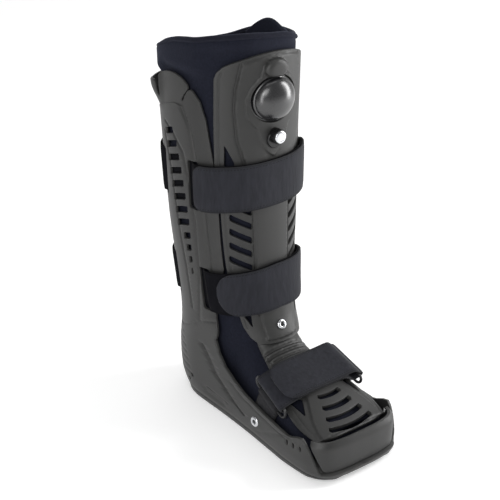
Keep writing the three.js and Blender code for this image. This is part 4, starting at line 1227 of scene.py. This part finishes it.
def leg_strap(name, width, height, slots, skew_left, skew_right, tip, fold, blunt, bend):
    marks = [
        turn_at(slots[0][0] + slot_room, height, leg_spot),
        turn_at(slots[0][1] - slot_room, height, leg_spot, behind_wall),
        turn_at(slots[1][0] + slot_room, height, leg_spot, behind_wall),
        turn_at(slots[1][1] - slot_room, height, leg_spot),
    ]
    behind = -behind_wall - strap_thick
    sink = [
        (0, over_panel), (marks[0] - 0.2, over_panel), (marks[0], over_shell), (marks[1], behind),
        (marks[2], behind), (marks[3], over_shell), (2, over_shell),
    ]
    across = np.linspace(-1, 1, 17)

    def section(turn, low, high, half):
        rise = linear(skew_left if turn < 0 else skew_right, abs(turn) / marks[0]) * width
        out = linear(sink, abs(turn))
        outer, inner, flat_out, flat_in = [], [], [], []
        for share in across:
            round_edge = edge_fall * max(0, (abs(share) - 0.9) / 0.1) ** 2
            hem = hem_sink * max(0, 1 - abs(abs(share) - 0.88) / 0.05)
            z = height + share * half
            faces = ((inner, low + round_edge, flat_in), (outer, high - round_edge - hem, flat_out))
            for line, level, flat in faces:
                x, y = leg_spot(turn, z, -(out + level))
                line.append((x, y, z + rise))
                flat.append((turn * cloth_scale, share * half))
        return inner + outer[::-1], flat_in + flat_out[::-1]

    even = [round(t, 4) for t in np.arange(-2, 2, 0.035)]
    turns = sorted(set(even + [side * mark for mark in marks for side in (-1, 1)]))
    turns = [t for t in turns if t > -1.9999]
    made = [section(t, 0, strap_thick, width / 2) for t in turns]
    loop = strip_mesh(name + "_loop", [m[0] for m in made], True, [m[1] for m in made])
    free = []
    curve, rest = np.linspace(-tip, -tip + bend, 24)[:-1], np.linspace(-tip + bend, fold, 56)
    for t in np.concatenate([curve, rest]):
        into = min(max((t + tip) / bend, 0), 1)
        tall = (width / 2 - 0.3) * mix(blunt, 1, math.sqrt(1 - (1 - into) ** 2))
        end = fold_fall * strap_thick * max(0, (t - fold + 0.04) / 0.04)
        free.append(section(t, strap_thick + 0.1, 2 * strap_thick - end, tall))
    top = strip_mesh(name + "_end", [m[0] for m in free], False, [m[1] for m in free])
    return loop, top


seam_inset, stitch_pitch, pressed_edge = 3.2, 3.2, 2.0


def loop_fabric(name, colour, half, edge, gloss=0.2, sheen=0.07):
    """Brushed loop fabric: fine upright nap, a heat-pressed edge and a row of stitches."""
    made, nodes, links, shader = shader_of(name, colour, 0.92)
    nap = grain(nodes, links, 260, 5, (1, 1, 0.22))
    cloud = grain(nodes, links, 34, 3, (1, 1, 0.4))
    tone = ramp(nodes, links, nap, [(0.28, shade(colour, 0.62)), (0.7, shade(colour, 1.45))])
    soft = blend_colours(nodes, links, cloud, tone, shade(colour, 1.15))
    place = nodes.new("ShaderNodeUVMap")
    place.uv_map = "flat"
    split = nodes.new("ShaderNodeSeparateXYZ")
    links.new(place.outputs["UV"], split.inputs["Vector"])

    def sums(operation, first, second):
        made = nodes.new("ShaderNodeMath")
        made.operation = operation
        for socket, value in zip(made.inputs, (first, second)):
            plug(links, value, socket)
        return made.outputs[0]

    away = sums("ABSOLUTE", split.outputs["Y"], 0)
    row = sums("LESS_THAN", sums("ABSOLUTE", sums("SUBTRACT", away, half - seam_inset), 0), 0.45)
    wave = sums("SINE", sums("MULTIPLY", split.outputs["X"], 2 * math.pi / stitch_pitch), 0)
    stitches = sums("MULTIPLY", row, sums("GREATER_THAN", wave, -0.35))
    border = sums("GREATER_THAN", away, half - pressed_edge)
    edged = blend_colours(nodes, links, border, soft, edge)
    sewn = blend_colours(nodes, links, stitches, edged, shade(colour, 0.45))
    links.new(sewn, shader.inputs["Base Color"])
    shader.inputs["Specular IOR Level"].default_value = gloss
    shader.inputs["Sheen Weight"].default_value = sheen
    shader.inputs["Sheen Roughness"].default_value = 0.45
    raised = sums("SUBTRACT", nap, sums("MULTIPLY", stitches, 0.9))
    bump(nodes, links, shader, raised, 0.55, 0.0007)
    return made


leg_half = 25
slate, slate_edge = (0.0155, 0.016, 0.0205), (0.012, 0.0125, 0.015)
# The loops are the same slate fabric painted nearly black: painted shade for the strap where it runs behind
# the shells and under its folded end.
shaded_slate, shaded_slate_edge = (0.0045, 0.0045, 0.006), (0.004, 0.004, 0.005)
leg_fabric = loop_fabric("slate_loop_fabric", slate, leg_half, slate_edge)
shaded_loop_fabric = loop_fabric("painted_shade_loop_fabric", shaded_slate, leg_half, shaded_slate_edge, 0.05, 0.01)

# Name, flat lengths round the leg and of the folded end in metres, width, height, slots, rise
# to the left and to the right as shares of the way to the slot and of the width, turns where
# the end's tip and its fold lie, bluntness of the tip and the length of its curve.
straps = (
    ("calf_strap", 0.47, 0.183, 50, 272, calf_slots, [(0, 0.11), (0.6, 0.06), (1, 0)],
     [(0, 0.11), (0.5, 0.15), (0.85, 0.12), (1, 0)], 0.833, 0.778, 0.6, 0.1),
    ("ankle_strap", 0.436, 0.155, 48, 153.5, ankle_slots, [(0, 0.2), (0.9, 0), (1, 0)],
     [(0, 0.2), (0.55, 0.17), (1, 0)], 0.66, 0.733, 0.1, 0.2),
)
for name, loop_length, end_length, width, *form in straps:
    loop, top = leg_strap(name, width, *form)
    # The loop gets the copy with painted shade, and the folded end the plain slate.
    for piece, fabric, length, carriers in (
        (loop, shaded_loop_fabric, loop_length, ["rear_shell_moulding", "shin_shell_moulding"]),
        (top, leg_fabric, end_length, [loop.name]),
    ):
        piece.data.materials.append(fabric)
        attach(piece, "boot")
        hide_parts(name)

# Rings and their webbing. A black plastic ring stands at each side of the foot, held by a
# strip of black webbing that is riveted inside the side wall.
ring_length = 58
ring_width = 14
ring_bar = 3
foot_half = 0.73 * calf_half
strap_seat = Vector((0, -0.6 * toe_reach, 0.1925 * shell_top))
strap_slope = Vector((0, -0.93, -0.365)).normalized()
strap_up = Vector((0, strap_slope.z, -strap_slope.y))
strap_lean = 0.08
ring_centre = {-1: (-foot_half, -15.5), 1: (foot_half + 1, -11)}
webbing_width = 34
webbing_thick = 1.6
webbing_drop = 38
bar_room = ring_bar * math.sqrt(0.5) + 0.6


def leaned(across):
    return (Vector((across / foot_half * strap_lean, 0, 0)) + strap_slope).normalized()


def foot_point(across, up):
    return strap_seat + strap_up * up + Vector((across, 0, 0))


def band(name, path, thick, width_at, steps=16):
    """A band along a path of (across, up). width_at takes a point's number and their count."""
    sections, uvs, run_length = [], [], 0.0
    for i, (x, up) in enumerate(path):
        before, after = path[max(i - 1, 0)], path[min(i + 1, len(path) - 1)]
        run = Vector((after[0] - before[0], after[1] - before[1])).normalized()
        if i:
            run_length += math.dist(path[i], path[i - 1])
        along = leaned(x)
        half = width_at(i, len(path)) / 2
        lower, upper, flat_low, flat_up = [], [], [], []
        for share in np.linspace(-1, 1, steps + 1):
            soft = 0.25 * thick * max(0, (abs(share) - 0.92) / 0.08) ** 2
            for face, line, flat in ((-1, lower, flat_low), (1, upper, flat_up)):
                reach = face * (thick / 2 - soft)
                point = foot_point(x - run.y * reach, up + run.x * reach)
                line.append(point + along * share * half)
                flat.append((run_length, share * half))
        sections.append(lower + upper[::-1])
        uvs.append(flat_low + flat_up[::-1])
    return strip_mesh(name, sections, False, uvs)


def curve_through(rows, step=1.6):
    """A smooth line through points of (across, up)."""
    fine = []
    for i in range(len(rows) - 1):
        p0, p1 = rows[max(i - 1, 0)], rows[i]
        p2, p3 = rows[i + 1], rows[min(i + 2, len(rows) - 1)]
        pieces = max(1, math.ceil(math.dist(p1, p2) / step))
        for k in range(pieces):
            t = k / pieces
            point = []
            for a, b, c, d in zip(p0, p1, p2, p3):
                point.append(0.5 * (2 * b + (c - a) * t + (2 * a - 5 * b + 4 * c - d) * t * t
                                    + (3 * b - a - 3 * c + d) * t ** 3))
            fine.append(tuple(point))
    fine.append(tuple(rows[-1]))
    return fine


def wrap(x, up, radius, start, end, steps=9):
    turns = [math.radians(mix(start, end, i / steps)) for i in range(steps + 1)]
    return [(x + radius * math.cos(t), up + radius * math.sin(t)) for t in turns]


black_plastic = moulded_plastic("black_plastic", (0.012, 0.012, 0.013), 0.35)
black_webbing = loop_fabric("black_webbing", (0.016, 0.016, 0.018), 17, (0.01, 0.01, 0.011))
for side, word in ((-1, "left"), (1, "right")):
    across, up = ring_centre[side]
    along = leaned(across)
    outward_way = along.cross(strap_up).normalized()
    upward = outward_way.cross(along)
    path = []
    straight, bend = ring_length / 2 - ring_width / 2, ring_width / 2 - ring_bar / 2
    for i in range(64):
        angle = 2 * math.pi * i / 64
        a = math.copysign(straight, math.cos(angle)) + bend * math.cos(angle)
        b = bend * math.sin(angle)
        centre = foot_point(across, up) + along * a + upward * b
        out = (along * math.cos(angle) + upward * math.sin(angle)).normalized()
        path.append((centre, out, outward_way))
    ring = tube(f"foot_ring_{word}_bar", path, ring_bar / 2, ring_bar / 2)
    ring.data.materials.append(black_plastic)
    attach(ring, "boot")
    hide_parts(f"foot_ring_{word}")
    low = up - ring_width / 2 + ring_bar / 2
    foot_at = foot_point(0, low - webbing_drop)
    inner = boot_spot(turn_at(foot_at.y, foot_at.z), foot_at.z, wall)[0] - 0.6 - webbing_thick / 2
    turn_radius = bar_room + webbing_thick / 2
    hook = wrap(0, 0, turn_radius, 200, -20)
    route = [(side * inner, low - 30), (side * inner, low - 8)]
    route += [(across + side * x, low + y) for x, y in hook]
    webbing = band(
        f"foot_anchor_{word}_webbing", curve_through(route), webbing_thick, lambda i, n: webbing_width,
    )
    webbing.data.materials.append(black_webbing)
    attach(webbing, "boot")
    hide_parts(f"foot_anchor_{word}")

# Foot strap. The same slate fabric, flat over the instep between the rings, folded round
# the right one and closed on top of itself.
foot_width = 47
over = strap_thick / 2 + 0.7
upper = over + strap_thick + 0.2
bar_wrap = bar_room + strap_thick / 2
left_x, left_up = ring_centre[-1]
right_x, right_up = ring_centre[1]
left_bar = left_up + ring_width / 2 - ring_bar / 2
right_bar = right_up + ring_width / 2 - ring_bar / 2
lower_run = [(-0.75, -3.6), (-0.5, -1), (-0.2, 0), (0.2, 0), (0.55, -0.4)]
upper_run = [
    (0.82, 1), (0.5, 0.6), (0.2, 0), (-0.2, 0), (-0.52, -0.8), (-0.78, -2.8), (-0.86, -3.6), (-0.93, -4.5),
]
strap_route = wrap(left_x, left_bar, bar_wrap, 330, 120)
strap_route += [(share * foot_half, over + rise) for share, rise in lower_run]
strap_route += [(0.85 * foot_half, right_bar - bar_wrap + 0.4)]
strap_route += wrap(right_x, right_bar, bar_wrap, -80, 95)
strap_route += [(share * foot_half, upper + rise) for share, rise in upper_run]


tip_steps, tip_blunt = 11, 0.25


def foot_widths(index, count):
    """The strap's width along it, with a round tip."""
    from_end = count - 1 - index
    if from_end > tip_steps:
        return foot_width
    return foot_width * (tip_blunt + (1 - tip_blunt) * math.sqrt(1 - (1 - from_end / tip_steps) ** 2))


foot_strap = band("foot_strap_band", curve_through(strap_route), strap_thick, foot_widths)
foot_strap.data.materials.append(loop_fabric("slate_foot_fabric", slate, foot_width / 2, slate_edge))
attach(foot_strap, "boot")
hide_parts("foot_strap")

# Rivets. Bright nickel-plated tubular rivets with a cup in the middle: one in each
# side wall and one where the shin shell crosses the instep shell.
rivet_radius = 5.6


def turned(name, profile, base, steps=48, direction=(0, -1, 0)):
    """A turned piece on an axis that points the given way. profile is (radius, height)."""
    spin = Vector((0, 0, 1)).rotation_difference(Vector(direction)).to_matrix()
    points = []
    for radius, height in profile:
        for i in range(steps):
            angle = 2 * math.pi * i / steps
            spoke = Vector((radius * math.cos(angle), radius * math.sin(angle), height))
            points.append(Vector(base) + spin @ spoke)
    return new_object(name, points, ring_faces(len(profile), steps))


def nickel(name):
    made, nodes, links, shader = shader_of(name, (0.62, 0.63, 0.65), 0.22)
    shader.inputs["Metallic"].default_value = 1
    bump(nodes, links, shader, grain(nodes, links, 900, 2), 0.05, 0.0001)
    return made


bright_nickel = nickel("bright_nickel")
rivet_profile = [
    (rivet_radius, 0.0), (rivet_radius, 0.5), (0.94 * rivet_radius, 1.0), (0.8 * rivet_radius, 1.5),
    (0.62 * rivet_radius, 1.7), (0.5 * rivet_radius, 1.5), (0.44 * rivet_radius, 0.9),
    (0.42 * rivet_radius, -1.2), (0.01, -1.2),
]
ankle_share = 0.281
side_rivet = (-0.484 * toe_reach, 28.5)
for name in ("foot_rivet_left", "foot_rivet_right", "ankle_rivet"):
    if name == "ankle_rivet":
        fronts = [shin_front * smooth(body_rows, share, 3) for share in (0.27, ankle_share, 0.292)]
        slope = (fronts[0] - fronts[2]) / (0.022 * shell_top)
        direction = Vector((0, -1, slope)).normalized()
        base = Vector((0, -(fronts[1] + relief + 0.5), ankle_share * shell_top))
    else:
        side = -1 if "left" in name else 1
        y, z = side_rivet
        base = Vector((boot_spot(side * turn_at(y, z), z, 0.0)[0], y, z))
        direction = Vector((side, -0.1, 0.05)).normalized()
        base = base + direction * 0.4
    rivet = turned(name + "_head", rivet_profile, base, 32, direction)
    rivet.data.materials.append(bright_nickel)
    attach(rivet, "boot")
    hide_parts(name)

# Pump bulb. Glossy black moulded rubber. Its rim follows the curve of the shin shell, in a
# hole of the boss, and its flange lies behind the wall.
bulb_dome = 12.6
dome_share, dome_foot, dome_steps = 0.945, 1.1, 18
bulb_profile = [
    (1.042, -3.4), (1.0, -3.4), (1.0, -0.2), (0.99, 0.4), (0.965, 0.8), (dome_share, dome_foot),
]
for i in range(1, dome_steps + 1):
    angle = math.pi / 2 * i / dome_steps
    rise = bulb_dome * math.sin(angle)
    bulb_profile.append((dome_share * math.cos(angle) + 0.0004, dome_foot + rise))


def bulb_mesh(steps=72):
    points = []
    for share, height in bulb_profile:
        for i in range(steps):
            angle = 2 * math.pi * i / steps
            x = share * bulb_half * math.cos(angle)
            z = pump_height + share * bulb_rise * math.sin(angle)
            points.append((x, front_at(x, z) - height, z))
    return new_object("pump_bulb_dome", points, ring_faces(len(bulb_profile), steps))


def glossy_rubber(name, colour):
    made, nodes, links, shader = shader_of(name, colour, 0.24)
    shader.inputs["Specular IOR Level"].default_value = 0.9
    smear = ranged(nodes, links, grain(nodes, links, 22, 3), "To", 0.2, 0.32)
    links.new(smear, shader.inputs["Roughness"])
    bump(nodes, links, shader, grain(nodes, links, 90, 2), 0.05, 0.0006)
    return made


bulb = bulb_mesh()
bulb.data.materials.append(glossy_rubber("glossy_black", (0.007, 0.007, 0.008)))
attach(bulb, "boot")
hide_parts("pump_bulb")

# Valve. A black knurled knob on a round flange, with a bright button in its middle that is
# pressed to let the air out.
knob_radius = 7.9
knob_length = 9.2
button_radius = 6.7
button_depth = 5.0
button_proud = 2.0
button_room = 2.4
flange_radius = 9.9
flange_drop = 3.6
knurls = 22
knurl_depth = 0.55
seat = Vector((0, front_at(0, valve_height) + 0.4, valve_height))


def knob_mesh():
    steps = 6 * knurls
    floor = knob_length - button_depth
    profile = [
        (knob_radius, 0, 1), (knob_radius, knob_length - 1.2, 1), (knob_radius - 0.4, knob_length - 0.3, 0.3),
        (knob_radius - 0.6, knob_length, 0), (button_radius + 0.4, knob_length, 0),
        (button_radius + 0.3, knob_length - 0.4, 0), (button_radius + 0.3, floor, 0), (0.01, floor, 0),
    ]
    points = []
    for radius, height, cut in profile:
        for i in range(steps):
            angle = 2 * math.pi * i / steps
            r = radius - knurl_depth * cut * max(0, math.cos(knurls * angle)) ** 2
            points.append(seat + Vector((r * math.cos(angle), -height, r * math.sin(angle))))
    return new_object("valve_knob_body", points, ring_faces(len(profile), steps))


knob_plastic = moulded_plastic("knob_plastic", (0.004, 0.004, 0.0045), 0.3)
knob = knob_mesh()
flange_profile = [(flange_radius, -0.8), (flange_radius, 1.8), (flange_radius - 0.7, 2.6), (0.01, 2.6)]
flange = turned("valve_knob_flange", flange_profile, seat - Vector((0, 0, flange_drop)), 64)
for piece in (knob, flange):
    piece.data.materials.append(knob_plastic)
    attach(piece, "boot")
    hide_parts("valve_knob")
button_long = button_depth - button_room + button_proud
button_profile = [
    (button_radius, 0), (button_radius, button_long - 0.9), (button_radius - 0.3, button_long - 0.4),
    (button_radius - 1.1, button_long), (button_radius - 2.2, button_long),
    (button_radius - 2.5, button_long - 0.4), (0.01, button_long - 0.45),
]
button_foot = seat - Vector((0, knob_length - button_depth + button_room, 0))
button = turned("valve_button_cap", button_profile, button_foot, 48)
button.data.materials.append(bright_nickel)
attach(button, "button")
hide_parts("valve_button")

# Studio. A plain pale floor that runs up behind the boot, and soft light from the front
# left, the right and above.
floor_mesh = bpy.data.meshes.new("floor")
sweep = [(-3, 0.0), (1.2, 0.0), (1.7, 0.08), (2.1, 0.4), (2.3, 1.0), (2.3, 3.0)]
floor_points = [(x, y, z) for y, z in sweep for x in (-4, 4)]
floor_faces = [(2 * i, 2 * i + 1, 2 * i + 3, 2 * i + 2) for i in range(len(sweep) - 1)]
floor_mesh.from_pydata(floor_points, [], floor_faces)
floor_mesh.shade_smooth()
floor = bpy.data.objects.new("floor", floor_mesh)
bpy.context.scene.collection.objects.link(floor)
floor.rotation_euler = (0, 0, math.radians(-38))
floor_paint, _, _, floor_shader = shader_of("pale_floor", (0.86, 0.86, 0.86), 0.9)
floor_shader.inputs["Emission Color"].default_value = (1, 1, 1, 1)
floor_shader.inputs["Emission Strength"].default_value = 0.3
floor_mesh.materials.append(floor_paint)

world = bpy.data.worlds.new("studio")
world.use_nodes = True
world.node_tree.nodes["Background"].inputs["Color"].default_value = (1, 1, 1, 1)
world.node_tree.nodes["Background"].inputs["Strength"].default_value = 0.35
bpy.context.scene.world = world

# Name, place, width, height and watts.
lamps = (
    ("key", (-1.3, -1.1, 1.3), 1.0, 1.0, 13),
    ("strip", (-1.3, -0.65, 0.5), 0.35, 1.2, 7),
    ("side", (1.4, -0.75, 0.7), 0.5, 1.6, 30),
    ("top", (0.1, 0.3, 2.1), 1.5, 1.5, 9),
)
target = Vector((0, 0, 0.2))
for name, place, wide, tall, watts in lamps:
    lamp_data = bpy.data.lights.new(name, "AREA")
    lamp_data.shape = "RECTANGLE"
    lamp_data.size = wide
    lamp_data.size_y = tall
    lamp_data.energy = watts
    lamp = bpy.data.objects.new(name, lamp_data)
    lamp.location = place
    lamp.rotation_euler = (target - Vector(place)).to_track_quat("-Z", "Y").to_euler()
    bpy.context.scene.collection.objects.link(lamp)

bpy.context.scene.view_settings.view_transform = "Standard"
